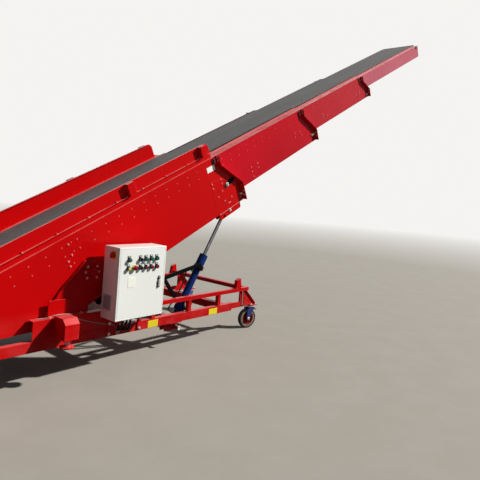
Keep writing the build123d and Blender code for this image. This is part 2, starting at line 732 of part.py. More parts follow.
def cross_members():
    inner = RAIL_OUTER_Y - RAIL_WIDTH
    top = LOWER_RAIL_BOTTOM + LOWER_RAIL_HEIGHT
    members = []
    for centre in CROSS_MEMBER_CENTRES:
        members.append(box_tube_y(centre, CROSS_MEMBER_WIDTH, inner, LOWER_RAIL_BOTTOM, top, RAIL_WALL))
    rail_inner = RAIL_OUTER_Y - UPPER_RAIL
    rest_z = UPPER_RAIL_TOP + REST_TUBE_RADIUS - REST_TUBE_SINK
    members.append(cylinder_y(REST_X, rest_z, REST_TUBE_RADIUS, -rail_inner, rail_inner))
    stub_half = REST_STUB_WIDTH / 2
    crown_half = stub_half - REST_STUB_TAPER
    crown = UPPER_RAIL_TOP + REST_STUB_HEIGHT
    outline = [(REST_X - stub_half, UPPER_RAIL_TOP), (REST_X + stub_half, UPPER_RAIL_TOP),
               (REST_X + crown_half, crown), (REST_X - crown_half, crown - REST_STUB_TAPER)]
    stub = plate(outline, -RAIL_OUTER_Y, -rail_inner)
    members += [stub, mirrored(stub)]
    members.append(block(UPPER_RAIL_FRONT - UPPER_RAIL, UPPER_RAIL_FRONT, -rail_inner, rail_inner,
                         UPPER_RAIL_TOP - UPPER_RAIL, UPPER_RAIL_TOP))
    return members


def castor_mount():
    y0 = -RAIL_OUTER_Y
    half = CASTOR_PLATE_WIDTH / 2
    base_top = CASTOR_TOP + CASTOR_PLATE_THICKNESS
    rail_low = UPPER_RAIL_TOP - UPPER_RAIL
    rear = CASTOR_X - half
    front = CASTOR_X + half
    cap_foot = front - CASTOR_PLATE_THICKNESS
    cap_top = UPPER_RAIL_FRONT - CAP_TOP_SETBACK
    post_rear = cap_top - 2 * UPPER_RAIL
    post_front = post_rear + UPPER_RAIL
    web_y = y0 + CASTOR_WEB_INSET
    base = block(rear, front, -CASTOR_Y - half, -CASTOR_Y + half, CASTOR_TOP, base_top)
    cap = plate([(cap_foot, base_top), (front, base_top), (cap_top, rail_low),
                 (cap_top - CASTOR_PLATE_THICKNESS, rail_low)], y0, y0 + CAP_WIDTH)
    post = block(post_rear, post_front, y0 + STRUT_INSET, y0 + RAIL_WIDTH, CASTOR_TOP, rail_low)
    slope = (cap_foot - cap_top + CASTOR_PLATE_THICKNESS) / (rail_low - base_top)
    web_top_x = cap_top - CASTOR_PLATE_THICKNESS
    web = plate([(post_front, base_top), (web_top_x + slope * (rail_low - base_top), base_top),
                 (web_top_x, rail_low), (post_front, rail_low)], web_y, web_y + CASTOR_WEB_THICKNESS)
    foot = block(post_front, rear, y0 + STRUT_INSET, y0 + RAIL_WIDTH, CASTOR_TOP, base_top)
    strut_rear = LOWER_RAIL_FRONT - STRUT_LAP
    strut = plate([(strut_rear, LOWER_RAIL_BOTTOM + RAIL_WALL), (post_rear, CASTOR_TOP),
                   (post_rear, CASTOR_TOP + STRUT_HEIGHT),
                   (strut_rear, LOWER_RAIL_BOTTOM + LOWER_RAIL_HEIGHT - RAIL_WALL)],
                  y0 + STRUT_INSET, y0 + RAIL_WIDTH)
    return [base, post, foot, web, cap, strut]


# Wheels

def wheel_parts(x, y):
    half = WHEEL_WIDTH / 2
    core_radius = WHEEL_RADIUS - TREAD_DEPTH
    tyre = tube_y(x, WHEEL_RADIUS, WHEEL_RADIUS, core_radius, y - half, y + half)
    circles = tyre.edges().filter_by(GeomType.CIRCLE)
    tread_edges = circles.filter_by(lambda edge: edge.radius > WHEEL_RADIUS - TREAD_DEPTH / 2)
    tyre = fillet(tread_edges, radius=TREAD_ROUNDING)
    low = y - half + RIM_INSET
    high = y + half - RIM_INSET
    core = cylinder_y(x, WHEEL_RADIUS, core_radius, low, high)
    core -= cylinder_y(x, WHEEL_RADIUS, core_radius - RIM_WIDTH, low, low + WEB_RECESS)
    core -= cylinder_y(x, WHEEL_RADIUS, core_radius - RIM_WIDTH, high - WEB_RECESS, high)
    core += cylinder_y(x, WHEEL_RADIUS, HUB_RADIUS, y - half, y + half)
    core -= cylinder_y(x, WHEEL_RADIUS, WHEEL_BORE_RADIUS + RUNNING_FIT, y - half, y + half)
    return tyre, core


def fork(x, y, axle_x, top):
    half = WHEEL_WIDTH / 2 + FORK_SIDE_GAP
    outer = half + FORK_LEG
    bridge_z = 2 * WHEEL_RADIUS + FORK_BRIDGE_THICKNESS
    bridge_top = bridge_z + FORK_BRIDGE_THICKNESS
    leg_half = FORK_LEG_WIDTH / 2
    rear = min(x - FORK_BRIDGE_HALF, axle_x - leg_half)
    bridge = block(rear, x + FORK_BRIDGE_HALF, y - outer, y + outer, bridge_z, bridge_top)
    swivel = cylinder_z(x, y, SWIVEL_RADIUS, bridge_top, top)
    axle_end = outer + AXLE_END
    axle = cylinder_y(axle_x, WHEEL_RADIUS, WHEEL_BORE_RADIUS, y - axle_end, y + axle_end)
    outline = [(axle_x - leg_half, WHEEL_RADIUS), (axle_x + leg_half, WHEEL_RADIUS),
               (x + FORK_SHOULDER, bridge_z), (axle_x - leg_half, bridge_z)]
    legs = []
    for y0 in (y - outer, y + half):
        leg = plate(outline, y0, y0 + FORK_LEG)
        leg += cylinder_y(axle_x, WHEEL_RADIUS, leg_half, y0, y0 + FORK_LEG)
        leg -= cylinder_y(axle_x, WHEEL_RADIUS, WHEEL_BORE_RADIUS + RUNNING_FIT, y0, y0 + FORK_LEG)
        legs.append(leg)
    return [bridge, swivel, axle] + legs


def castor_turned(shape):
    return Pos(CASTOR_X, -CASTOR_Y, 0) * Rot(0, 0, CASTOR_TURN) * Pos(-CASTOR_X, CASTOR_Y, 0) * shape


def build_wheels():
    axle_x = CASTOR_X - CASTOR_TRAIL
    swivel_top = CASTOR_TOP - SWIVEL_GAP
    castor_fork = [castor_turned(shape) for shape in fork(CASTOR_X, -CASTOR_Y, axle_x, swivel_top)]
    castor_tyre, castor_core = [castor_turned(shape) for shape in wheel_parts(axle_x, -CASTOR_Y)]
    rear_tyre, rear_core = wheel_parts(REAR_WHEEL_X, -REAR_WHEEL_Y)
    rear_bracket = fork(REAR_WHEEL_X, -REAR_WHEEL_Y, REAR_WHEEL_X, LOWER_RAIL_BOTTOM)
    for side in ("right", "left"):
        turn = (lambda shape: shape) if side == "right" else mirrored
        keep(f"castor_fork_{side}", *[turn(shape) for shape in castor_fork])
        keep(f"front_tyre_{side}", turn(castor_tyre))
        keep(f"front_wheel_core_{side}", turn(castor_core))
        keep(f"rear_tyre_{side}", turn(rear_tyre))
        keep(f"rear_wheel_core_{side}", turn(rear_core))
    keep("rear_wheel_brackets", *both_sides(rear_bracket))


# Chassis equipment

def stabiliser_jack():
    half = JACK_WIDTH / 2
    sleeve = block(JACK_X - half, JACK_X + half, -JACK_Y - half, -RAIL_OUTER_Y, JACK_BOTTOM, JACK_TOP)
    edge = sleeve.edges().filter_by(Axis.X).group_by(Axis.Z)[-1].sort_by(Axis.Y)[0]
    sleeve = chamfer(edge, JACK_CHAMFER)
    foot_top = JACK_FOOT_HEIGHT + JACK_FOOT_THICKNESS
    screw = cylinder_z(JACK_X, -JACK_Y, JACK_SCREW_RADIUS, foot_top, JACK_BOTTOM)
    foot = cylinder_z(JACK_X, -JACK_Y, JACK_FOOT_RADIUS, JACK_FOOT_HEIGHT, foot_top)
    return [sleeve, screw, foot]


def cylinder_foot():
    gap = CYLINDER_EYE_WIDTH / 2 + CLEVIS_SIDE_GAP
    bottom = LOWER_RAIL_BOTTOM
    low = FOOT_PIN_Z - FOOT_DEPTH
    outer_y = -CYLINDER_Y - gap
    inner_y = -CYLINDER_Y + gap
    inner_face = inner_y + CLEVIS_PLATE
    outline = [(FOOT_PIN_X - FOOT_REAR, bottom), (FOOT_PIN_X - FOOT_TOE, low), (FOOT_PIN_X + FOOT_HEEL, low),
               (FOOT_PIN_X + FOOT_FRONT, bottom)]
    outer_face = outer_y - CLEVIS_PLATE
    plate_low = bottom - FOOT_PLATE_THICKNESS
    plate_rear = FOOT_PIN_X - FOOT_REAR + FOOT_PLATE_LAP
    shelf = block(plate_rear, FOOT_PIN_X + FOOT_FRONT, -RAIL_OUTER_Y, outer_face, plate_low, bottom)
    bridge = block(plate_rear, FOOT_PIN_X - FOOT_SLOT_REAR, outer_y, inner_y, plate_low, bottom)
    hole = cylinder_y(FOOT_PIN_X, FOOT_PIN_Z, CYLINDER_PIN_RADIUS + RUNNING_FIT, outer_face, inner_face)
    outer = plate(outline, outer_face, outer_y) - hole
    inner = plate(outline, inner_y, inner_face) - hole
    pin = cylinder_y(FOOT_PIN_X, FOOT_PIN_Z, CYLINDER_PIN_RADIUS, -RAIL_OUTER_Y, inner_face + PIN_HEAD)
    return [shelf, bridge, outer, inner, pin]


def power_unit():
    base = LOWER_RAIL_BOTTOM + LOWER_RAIL_HEIGHT
    top = base + TANK_HEIGHT
    half = TANK_WIDTH / 2
    tank = block(TANK_X - TANK_LENGTH / 2, TANK_X + TANK_LENGTH / 2, TANK_Y - half, TANK_Y + half, base, top)
    motor_place = Pos(TANK_X, TANK_Y - half - PUMP_MOTOR_RADIUS, top - PUMP_MOTOR_RADIUS)
    return [tank, motor_place * Rot(0, 90, 0) * Cylinder(PUMP_MOTOR_RADIUS, PUMP_MOTOR_LENGTH)]


# Control cabinet

def cabinet_shell():
    x0 = CABINET_X
    x1 = x0 + CABINET_WIDTH
    y0 = CABINET_FRONT_Y + DOOR_THICKNESS + DOOR_GAP
    y1 = CABINET_FRONT_Y + CABINET_DEPTH
    z0 = CABINET_BOTTOM
    z1 = z0 + CABINET_HEIGHT
    wall = CABINET_WALL
    back = block(x0, x1, y1 - wall, y1, z0, z1)
    floor = block(x0, x1, y0, y1 - wall, z0, z0 + wall)
    roof = block(x0, x1, y0, y1 - wall, z1 - wall, z1)
    rear_side = block(x0, x0 + wall, y0, y1 - wall, z0 + wall, z1 - wall)
    front_side = block(x1 - wall, x1, y0, y1 - wall, z0 + wall, z1 - wall)
    return [back, floor, roof, rear_side, front_side]


def cabinet_door():
    x0 = CABINET_X
    x1 = x0 + CABINET_WIDTH
    y0 = CABINET_FRONT_Y
    y1 = y0 + DOOR_THICKNESS
    z0 = CABINET_BOTTOM
    z1 = z0 + CABINET_HEIGHT
    sheet = DOOR_SHEET
    face = block(x0, x1, y0, y0 + sheet, z0, z1)
    floor = block(x0, x1, y0 + sheet, y1, z0, z0 + sheet)
    roof = block(x0, x1, y0 + sheet, y1, z1 - sheet, z1)
    hinge_edge = block(x0, x0 + sheet, y0 + sheet, y1, z0 + sheet, z1 - sheet)
    lock_edge = block(x1 - sheet, x1, y0 + sheet, y1, z0 + sheet, z1 - sheet)
    return [face, floor, roof, hinge_edge, lock_edge]


def door_controls():
    face = CABINET_FRONT_Y
    controls = []
    top = CABINET_BOTTOM + CABINET_HEIGHT
    for row, drop in ((UPPER_CONTROLS, UPPER_CONTROL_DROP), (LOWER_CONTROLS, LOWER_CONTROL_DROP)):
        for offset in row:
            x = CABINET_X + offset
            controls.append(cylinder_y(x, top - drop, BUTTON_RADIUS, face - BUTTON_LENGTH, face))
    x = CABINET_X + STOP_CONTROL_X
    z = top - STOP_CONTROL_DROP
    stop = cylinder_y(x, z, BUTTON_RADIUS, face - BUTTON_LENGTH, face)
    cap = face - BUTTON_LENGTH
    stop += cylinder_y(x, z, MUSHROOM_RADIUS, cap - MUSHROOM_LENGTH, cap)
    controls.append(stop)
    return controls


def door_handle():
    x = CABINET_X + CABINET_WIDTH - HANDLE_INSET
    z = CABINET_BOTTOM + HANDLE_HEIGHT
    return block(x - HANDLE_WIDTH / 2, x + HANDLE_WIDTH / 2, CABINET_FRONT_Y - HANDLE_DEPTH, CABINET_FRONT_Y,
                 z - HANDLE_LENGTH / 2, z + HANDLE_LENGTH / 2)


def isolator_switch():
    face = CABINET_X
    y = CABINET_FRONT_Y + SWITCH_SETBACK
    z = CABINET_BOTTOM + CABINET_HEIGHT - SWITCH_DROP
    half = SWITCH_PLATE / 2
    plate_face = face - SWITCH_PLATE_DEPTH
    switch = block(plate_face, face, y - half, y + half, z - half, z + half)
    grip_half = SWITCH_GRIP_WIDTH / 2
    grip_reach = SWITCH_GRIP_LENGTH / 2
    grip = block(plate_face - SWITCH_GRIP_DEPTH, plate_face, y - grip_half, y + grip_half,
                 z - grip_reach, z + grip_reach)
    return [switch, grip]


def cabinet_leg(x):
    half = LEG_WIDTH / 2
    arm_low = CABINET_BOTTOM - LEG_WIDTH
    face = -RAIL_OUTER_Y
    arm = block(x - half, x + half, CABINET_FRONT_Y + LEG_SETBACK, face, arm_low, CABINET_BOTTOM)
    strap = block(x - half, x + half, face - LEG_PLATE, face, LOWER_RAIL_BOTTOM + LEG_FOOT_RISE, arm_low)
    return [arm, strap]


def build_cabinet():
    keep("cabinet_shell", *cabinet_shell())
    keep("cabinet_door", *cabinet_door())
    keep("door_controls", *door_controls())
    keep("door_handle", door_handle())
    keep("isolator_switch", *isolator_switch())
    leg_places = (CABINET_X + LEG_INSET, CABINET_X + CABINET_WIDTH - LEG_INSET)
    keep("cabinet_legs", *[piece for x in leg_places for piece in cabinet_leg(x)])
    build_conduits()


def build_conduits():
    y = CABINET_FRONT_Y + CABINET_DEPTH - CONDUIT_BACK_INSET
    end_y = -RAIL_OUTER_Y
    bend = (end_y - y) * CONDUIT_BEND_SHARE
    conduits = []
    for index in range(CONDUIT_COUNT):
        x = CABINET_X + CONDUIT_ENTRY_X - CONDUIT_SPACING * index
        low = CABINET_BOTTOM - CONDUIT_DROP + CONDUIT_STEP_UP * index
        path = FilletPolyline((x, y, CABINET_BOTTOM), (x, y, low), (x, end_y, low), radius=bend)
        section = Plane(origin=(x, y, CABINET_BOTTOM), z_dir=(0, 0, -1)) * Circle(CONDUIT_RADIUS)
        conduits.append(sweep(section, path=path))
    keep("cabinet_conduits", *conduits)


# Whole machine

def build_chassis():
    for name, shapes in (("lower_rails", lower_rail()), ("upper_rails", upper_rail()),
                         ("rear_frame_sides", rear_frame_side()), ("castor_mounts", castor_mount()),
                         ("stabiliser_jacks", stabiliser_jack()), ("cylinder_feet", cylinder_foot())):
        keep(name, *both_sides(shapes))
    keep("cross_members", *cross_members())
    keep("power_unit", *power_unit())


def whole_box():
    boxes = [solid.bounding_box() for solids in nodes.values() for solid in solids]
    low = [min(getattr(box.min, axis) for box in boxes) for axis in "XYZ"]
    high = [max(getattr(box.max, axis) for box in boxes) for axis in "XYZ"]
    return low, high


def write_parts():
    low, high = whole_box()
    origin = (-(low[0] + high[0]) / 2, -(low[1] + high[1]) / 2, -low[2])
    os.makedirs("parts", exist_ok=True)
    for name, solids in nodes.items():
        moved = [Pos(*origin) * solid for solid in solids]
        export_step(Compound(label=name, children=moved), f"parts/{name}.step")
    print("shift", [round(value, 3) for value in origin])


build_boom()
build_cylinders()
build_chassis()
build_wheels()
build_cabinet()
write_parts()
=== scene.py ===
import json
import math
import bmesh
import bpy
import numpy as np
from mathutils import Matrix, Vector


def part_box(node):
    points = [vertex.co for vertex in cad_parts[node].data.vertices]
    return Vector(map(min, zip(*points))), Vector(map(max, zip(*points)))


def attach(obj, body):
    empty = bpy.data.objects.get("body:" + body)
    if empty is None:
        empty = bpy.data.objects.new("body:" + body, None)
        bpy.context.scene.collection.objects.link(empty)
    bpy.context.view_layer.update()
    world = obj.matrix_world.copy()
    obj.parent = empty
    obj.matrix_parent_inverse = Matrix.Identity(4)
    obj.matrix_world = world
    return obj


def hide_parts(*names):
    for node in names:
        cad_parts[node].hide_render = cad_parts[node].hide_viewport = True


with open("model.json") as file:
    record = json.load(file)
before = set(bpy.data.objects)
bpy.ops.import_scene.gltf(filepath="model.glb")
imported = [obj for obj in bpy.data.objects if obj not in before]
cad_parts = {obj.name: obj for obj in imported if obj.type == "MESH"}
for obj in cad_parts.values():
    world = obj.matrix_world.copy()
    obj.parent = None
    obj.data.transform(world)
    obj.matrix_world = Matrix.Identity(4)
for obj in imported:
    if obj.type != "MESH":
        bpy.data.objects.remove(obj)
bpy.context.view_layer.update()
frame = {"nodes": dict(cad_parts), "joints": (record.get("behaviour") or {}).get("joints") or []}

# The working place: x 0 under the boom's pivot, y 0 the mid-plane, z from the lower rails' underside.
rails = {"rearOverhang": 1.45, "underside": 0.237}
railLow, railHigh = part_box("lower_rails")
origin = np.array([railLow.x + rails["rearOverhang"], (railLow.y + railHigh.y) / 2,
                   railLow.z - rails["underside"]])
boom = {"tilt": 26.4, "pivotHeight": 0.793}
boomCos = math.cos(math.radians(boom["tilt"]))
boomSin = math.sin(math.radians(boom["tilt"]))
sides = ("right", "left")
outward, upward, lengthwise = (0, -1, 0), (0, 0, 1), (1, 0, 0)


def tone(red, green, blue):
    # A colour read off a screen, 0 to 255, as the linear light that the shader wants.
    parts = np.array([red, green, blue]) / 255.0
    linear = np.where(parts <= 0.04045, parts / 12.92, ((parts + 0.055) / 1.055) ** 2.4)
    return (*linear.tolist(), 1.0)


def skin(rings):
    # Faces between neighbouring rings of points, each ring's last point joined to its first.
    rows, columns = rings.shape[:2]
    index = np.arange(rows * columns).reshape(rows, columns)
    index = np.hstack([index, index[:, :1]])
    faces = np.stack([index[:-1, :-1], index[1:, :-1], index[1:, 1:], index[:-1, 1:]], axis=-1)
    return rings.reshape(-1, 3), faces.reshape(-1, 4)


def stacked(outlines, depths):
    # Flat outlines (x, y), each set at its depth and joined in order.
    return skin(np.stack([np.insert(outline, 2, depth, axis=1) for outline, depth in zip(outlines, depths)]))


def unit(vector):
    vector = np.asarray(vector, float)
    return vector / np.linalg.norm(vector, axis=-1, keepdims=True)


def crosswise(axis):
    # Two directions square to an axis and to each other.
    axis = unit(axis)
    side = unit(np.cross(axis, [0.0, 0.0, 1.0] if abs(axis[2]) < 0.9 else [1.0, 0.0, 0.0]))
    return side, np.cross(axis, side)


def turned(profile, start=(0, 0, 0), axis=(0, 0, 1), steps=28):
    # A profile of (radius, height) turned round an axis: each point is start + height along the axis
    # + radius along a direction that goes round. Radius 0 at both ends closes it.
    profile = np.asarray(profile, float)
    side, other = crosswise(axis)
    angle = np.linspace(0.0, 2.0 * math.pi, steps + 1)[:-1]
    ring = np.cos(angle)[:, None] * side + np.sin(angle)[:, None] * other
    return skin(np.asarray(start, float) + profile[:, :1, None] * ring + profile[:, 1:, None] * unit(axis))


def closedRing(profile, start=(0, 0, 0), axis=(0, 0, 1), steps=24):
    # A profile whose last point joins its first, turned round an axis.
    return turned([*profile, profile[0]], start, axis, steps)


def twoSided(profile):
    # A profile (radius, depth) followed by its mirror image in depth.
    return profile + [(radius, -depth) for radius, depth in reversed(profile)]


def mm(*pairs):
    # Pairs of millimetres as pairs of metres.
    return [(first / 1000, second / 1000) for first, second in pairs]


def roundedOutline(width, height, corner, steps=4):
    # Four quarter circles, one in each corner of a rectangle round the middle.
    angle = (np.arange(4)[:, None] + np.linspace(0.0, 1.0, steps + 1)) * math.pi / 2
    middles = np.array([[1, 1], [-1, 1], [-1, -1], [1, -1]]) * [width / 2 - corner, height / 2 - corner]
    return (middles[:, None] + corner * np.stack([np.cos(angle), np.sin(angle)], axis=-1)).reshape(-1, 2)


def lofted(width, height, corner, stations, steps=4):
    # Rings of a rounded rectangle, each drawn in by its inset and set at its depth (x, y, depth),
    # closed by a point at both ends.
    # A second ring a little inside each end keeps the large faces' shading flat.
    (firstInset, firstDepth), (lastInset, lastDepth) = stations[0], stations[-1]
    margin = 0.1 * (min(width, height) / 2 - max(firstInset, lastInset))
    stations = [(firstInset + margin, firstDepth), *stations, (lastInset + margin, lastDepth)]
    outlines = [roundedOutline(width - 2 * inset, height - 2 * inset, max(corner - inset, 0.0002), steps)
                for inset, depth in stations]
    depths = [depth for inset, depth in stations]
    return stacked([outlines[0] * 0, *outlines, outlines[-1] * 0], [firstDepth, *depths, lastDepth])


def hoop(width, height, corner, rings, steps=4, narrowing=0.0):
    # A frame: rounded rectangles, each with its inset and depth, the last joined to the first.
    rings = rings + rings[:1]
    return stacked([roundedOutline(width - 2 * inset, height - 2 * inset, corner - narrowing * inset, steps)
                    for inset, depth in rings], [depth for inset, depth in rings])


def slab(corners, thickness, edge):
    # A flat plate over an outline that bulges outward everywhere, closed at both faces.
    middle = np.broadcast_to(corners.mean(0), corners.shape)
    inward = corners + unit(middle - corners) * edge
    depths = [0.0, 0.0, thickness - edge, thickness, thickness]
    return stacked([middle, corners, corners, inward, middle], depths)


def prism(section, start, end):
    # A section of (y, z) points carried straight along x and closed at both ends.
    section = np.asarray(section, float)
    middle = np.broadcast_to(section.mean(0), section.shape)
    return skin(np.stack([np.insert(outline, 0, x, axis=1) for outline, x in
                          ((middle, start), (section, start), (section, end), (middle, end))]))


def cushion(width, height, depth, corner=0.004, edge=0.0015, steps=3):
    # A plate with rounded corners and quarter-round edges, its back at depth 0 and its front at its depth.
    angle = np.linspace(0.0, math.pi / 2, 3)
    rise = list(zip(edge * (1 - np.sin(angle)), edge * (1 - np.cos(angle))))
    return lofted(width, height, corner, rise + [(inset, depth - at) for inset, at in reversed(rise)], steps)


def laid(patch, middle, right=(1, 0, 0), up=(0, 0, 1)):
    # A flat-made patch (x, y, depth) turned so that x runs right, y up and depth out of both.
    points, faces = patch
    right, up = unit(right), unit(up)
    return np.asarray(middle, float) + points @ np.stack([right, up, np.cross(right, up)]), faces


def block(low, high, edge=0.002, axis=2):
    # A box from corner to corner with rounded edges.
    low, high = np.asarray(low, float), np.asarray(high, float)
    order = [(axis + 1) % 3, (axis + 2) % 3, axis]
    points, faces = cushion(*(high - low)[order], edge * 1.2, edge, 2)
    moved = np.empty_like(points)
    moved[:, order] = points
    middle = (low + high) / 2
    middle[axis] = low[axis]
    return moved + middle, faces


def pipe(path, radius, count=12, guide=(0, 1, 0)):
    # A round profile carried along a path: each ring lies square to the path, turned to a guide.
    path = np.asarray(path, float)
    side = unit(np.cross(unit(np.gradient(path, axis=0)), guide))
    other = np.cross(unit(np.gradient(path, axis=0)), side)
    angle = np.linspace(0.0, 2.0 * math.pi, count + 1)[:-1]
    radius = np.broadcast_to(np.asarray(radius, float), (len(path),))[:, None, None]
    ring = np.cos(angle)[None, :, None] * side[:, None] + np.sin(angle)[None, :, None] * other[:, None]
    ends = [np.repeat(path[index][None, None], count, 1) for index in (0, -1)]
    return skin(np.concatenate([ends[0], path[:, None] + radius * ring, ends[1]]))


def curve(points, count):
    # A smooth line through points: Catmull and Rom's cubic on each run, sampled evenly.
    points = np.asarray(points, float)
    full = np.concatenate([2 * points[:1] - points[1:2], points, 2 * points[-1:] - points[-2:-1]])
    at = np.linspace(0.0, len(points) - 1.0, count)
    run = np.minimum(at.astype(int), len(points) - 2)
    t = (at - run)[:, None]
    a, b, c, d = full[run], full[run + 1], full[run + 2], full[run + 3]
    square, cube = 2 * a - 5 * b + 4 * c - d, 3 * b - a - 3 * c + d
    return 0.5 * (2 * b + (c - a) * t + square * t ** 2 + cube * t ** 3)


def together(patches):
    # Several patches as one.
    starts = np.cumsum([0] + [len(points) for points, faces in patches])
    return (np.concatenate([points for points, faces in patches]),
            np.concatenate([faces + start for (points, faces), start in zip(patches, starts)]))


def repeated(patch, places, facing=(0, -1, 0)):
    # The patch once at each place, its depth turned to look along facing.
    points, faces = patch
    turnedPoints = points @ np.stack([*crosswise(facing), unit(facing)])
    places = np.asarray(places, float).reshape(-1, 3)
    copies = places[:, None] + turnedPoints
    steps = np.arange(len(places))[:, None, None] * len(points)
    return copies.reshape(-1, 3), (faces[None] + steps).reshape(-1, 4)


def bolts(width, places, facing=(0, -1, 0)):
    # Hexagon heads on washers, one at each place.
    height = width * 0.62
    reach = width / math.sqrt(3)
    washer = [(0, 0), (reach * 1.45, 0), (reach * 1.45, 0.0012), (reach * 1.38, 0.0016), (0, 0.0016)]
    head = [(0, 0.001), (reach, 0.001), (reach, height * 0.82), (reach * 0.82, height), (0, height)]
    return repeated(together([turned(washer, steps=14), turned(head, steps=6)]), places, facing)


def rivets(radius, height, places):
    # Domed heads, one at each place.
    angles = np.linspace(0.0, math.pi / 2, 4)
    dome = [(radius * math.cos(angle), height * math.sin(angle)) for angle in angles]
    return repeated(turned([(0, 0), *dome], steps=10), places)


def fins(patch, centre, radius, count, furthest=2.0):
    # Cooling fins all round an axis along x, apart from those that look further to +y than a limit.
    angles = np.arange(count) * 2 * math.pi / count
    outs = [np.array([0.0, math.cos(angle), math.sin(angle)]) for angle in angles]
    return together([laid(patch, centre + out * radius, (1, 0, 0), np.cross(out, (1, 0, 0)))
                     for out in outs if out[1] <= furthest])


def flipped(patch):
    # The mirror image across the mid-plane, with its faces turned back.
    return patch[0] * [1, -1, 1], patch[1][:, ::-1]


def onBoom(points):
    # (along the boom, across, up from its line) at rest, as a place.
    u, y, v = points.T
    return np.stack([u * boomCos - v * boomSin, y, boom["pivotHeight"] + u * boomSin + v * boomCos], axis=-1)


# How near points merge, how thin a sliver is dropped, and the angle in degrees that keeps an edge sharp.
meshing = {"merge": 2e-6, "sliver": 1e-7, "sharp": 32.0}


def putIn(name, patches, finish, body="chassis", stands=(), pair=False):
    # Makes the piece: doubles merged, faces outward, smooth except at sharp edges. Pair adds the mirror
    # image. On a boom stage the places are along, across and up from the boom's line.
    points, faces = together(patches + [flipped(patch) for patch in patches if pair])
    points = (onBoom(points) if body.startswith("boom_stage") else points) + origin
    mesh = bpy.data.meshes.new(name)
    mesh.from_pydata(points.tolist(), [], faces.tolist())
    work = bmesh.new()
    work.from_mesh(mesh)
    bmesh.ops.remove_doubles(work, verts=work.verts, dist=meshing["merge"])
    bmesh.ops.dissolve_degenerate(work, edges=work.edges, dist=meshing["sliver"])
    bmesh.ops.recalc_face_normals(work, faces=work.faces)
    work.to_mesh(mesh)
    work.free()
    mesh.polygons.foreach_set("use_smooth", [True] * len(mesh.polygons))
    mesh.set_sharp_from_angle(angle=math.radians(meshing["sharp"]))
    piece = bpy.data.objects.new(name, mesh)
    bpy.context.scene.collection.objects.link(piece)
    mesh.materials.append(finishes[finish])
    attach(piece, body)
    if stands:
        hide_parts(*stands)


def putSides(name, patches, finish, body):
    # The right-hand piece and, as a piece of its own, its mirror image. A body that ends in _ takes the side.
    for side in sides:
        shapes = patches if side == "right" else [flipped(patch) for patch in patches]
        putIn(f"{name}_{side}", shapes, finish, body + side if body.endswith("_") else body)


class Wire:
    # A socket that adds, subtracts and multiplies as a number does.
    def __init__(self, nodes, socket):
        self.nodes = nodes
        self.socket = socket

    def maths(self, operation, first, second=None, clamp=False):
        values = {0: first} if second is None else {0: first, 1: second}
        return self.nodes.add("ShaderNodeMath", {"operation": operation, "use_clamp": clamp}, values)

    def __add__(self, other):
        return self.maths("ADD", self, other)

    def __radd__(self, other):
        return self.maths("ADD", other, self)

    def __sub__(self, other):
        return self.maths("SUBTRACT", self, other)

    def __rsub__(self, other):
        return self.maths("SUBTRACT", other, self)

    def __mul__(self, other):
        return self.maths("MULTIPLY", self, other)

    def __pow__(self, other):
        return self.maths("POWER", self, other)

    def most(self, other):
        return self.maths("MAXIMUM", self, other)

    def sine(self):
        return self.maths("SINE", self)

    def kept(self):
        # Held between 0 and 1.
        return self.maths("ADD", self, 0.0, clamp=True)

    def ramp(self, start, end):
        # 0 at start, 1 at end, straight between and level outside.
        return self.nodes.add("ShaderNodeMapRange", {"clamp": True},
                              {"Value": self, "From Min": start, "From Max": end})


class Nodes:
    # A node tree, with one method that adds any node and one that joins a wire to its end.
    def __init__(self, tree):
        self.tree = tree

    def add(self, kind, settings=None, sockets=None, output=0):
        node = self.tree.nodes.new(kind)
        for key, value in (settings or {}).items():
            setattr(node, key, value)
        for key, value in (sockets or {}).items():
            if isinstance(value, Wire):
                self.tree.links.new(value.socket, node.inputs[key])
            else:
                node.inputs[key].default_value = value
        return Wire(self, node.outputs[output])

    def show(self, wire, end):
        self.tree.links.new(wire.socket, self.tree.nodes[end].inputs["Surface"])


class Finish(Nodes):
    # One material and its shader.
    def __init__(self, name, **fixed):
        self.material = bpy.data.materials.new(name)
        self.material.use_nodes = True
        super().__init__(self.material.node_tree)
        self.shader = self.tree.nodes["Principled BSDF"]
        self.place = self.add("ShaderNodeTexCoord", output="Object")
        for socket, value in fixed.items():
            self.shader.inputs[socket].default_value = value

    def feed(self, socket, wire):
        self.tree.links.new(wire.socket, self.shader.inputs[socket])

    def blend(self, factor, first, second):
        # Each colour is a wire or a screen tone.
        first, second = (tone(*colour) if isinstance(colour, tuple) else colour for colour in (first, second))
        return self.add("ShaderNodeMix", {"data_type": "RGBA"}, {0: factor, 6: first, 7: second}, output=2)

    def noise(self, scale, detail=3.0, rough=0.55, place=None):
        return self.add("ShaderNodeTexNoise", {}, {"Vector": place or self.place, "Scale": scale,
                                                   "Detail": detail, "Roughness": rough})

    def stretched(self, scale):
        # The place, scaled, for patterns that run one way.
        return self.add("ShaderNodeMapping", {}, {"Vector": self.place, "Scale": scale})

    def axes(self, place=None):
        split = self.add("ShaderNodeSeparateXYZ", {}, {"Vector": place or self.place})
        return [Wire(self, out) for out in split.socket.node.outputs]

    def faceUp(self):
        # 1 on a face that looks up, 0 on an upright one, -1 underneath.
        return self.axes(self.add("ShaderNodeNewGeometry", output="Normal"))[2]

    def rounded(self, radius):
        # The normal of a softly rounded edge, and how near an edge is: 0 flat, towards 1 on it.
        soft = self.add("ShaderNodeBevel", {"samples": 4}, {"Radius": radius})
        hard = self.add("ShaderNodeNewGeometry", output="Normal")
        same = self.add("ShaderNodeVectorMath", {"operation": "DOT_PRODUCT"}, {0: soft, 1: hard},
                        output="Value")
        return soft, 1.0 - same

    def bump(self, height, strength, distance, normal=None):
        sockets = {"Height": height, "Strength": strength, "Distance": distance}
        return self.add("ShaderNodeBump", {}, {**sockets, "Normal": normal} if normal else sockets)


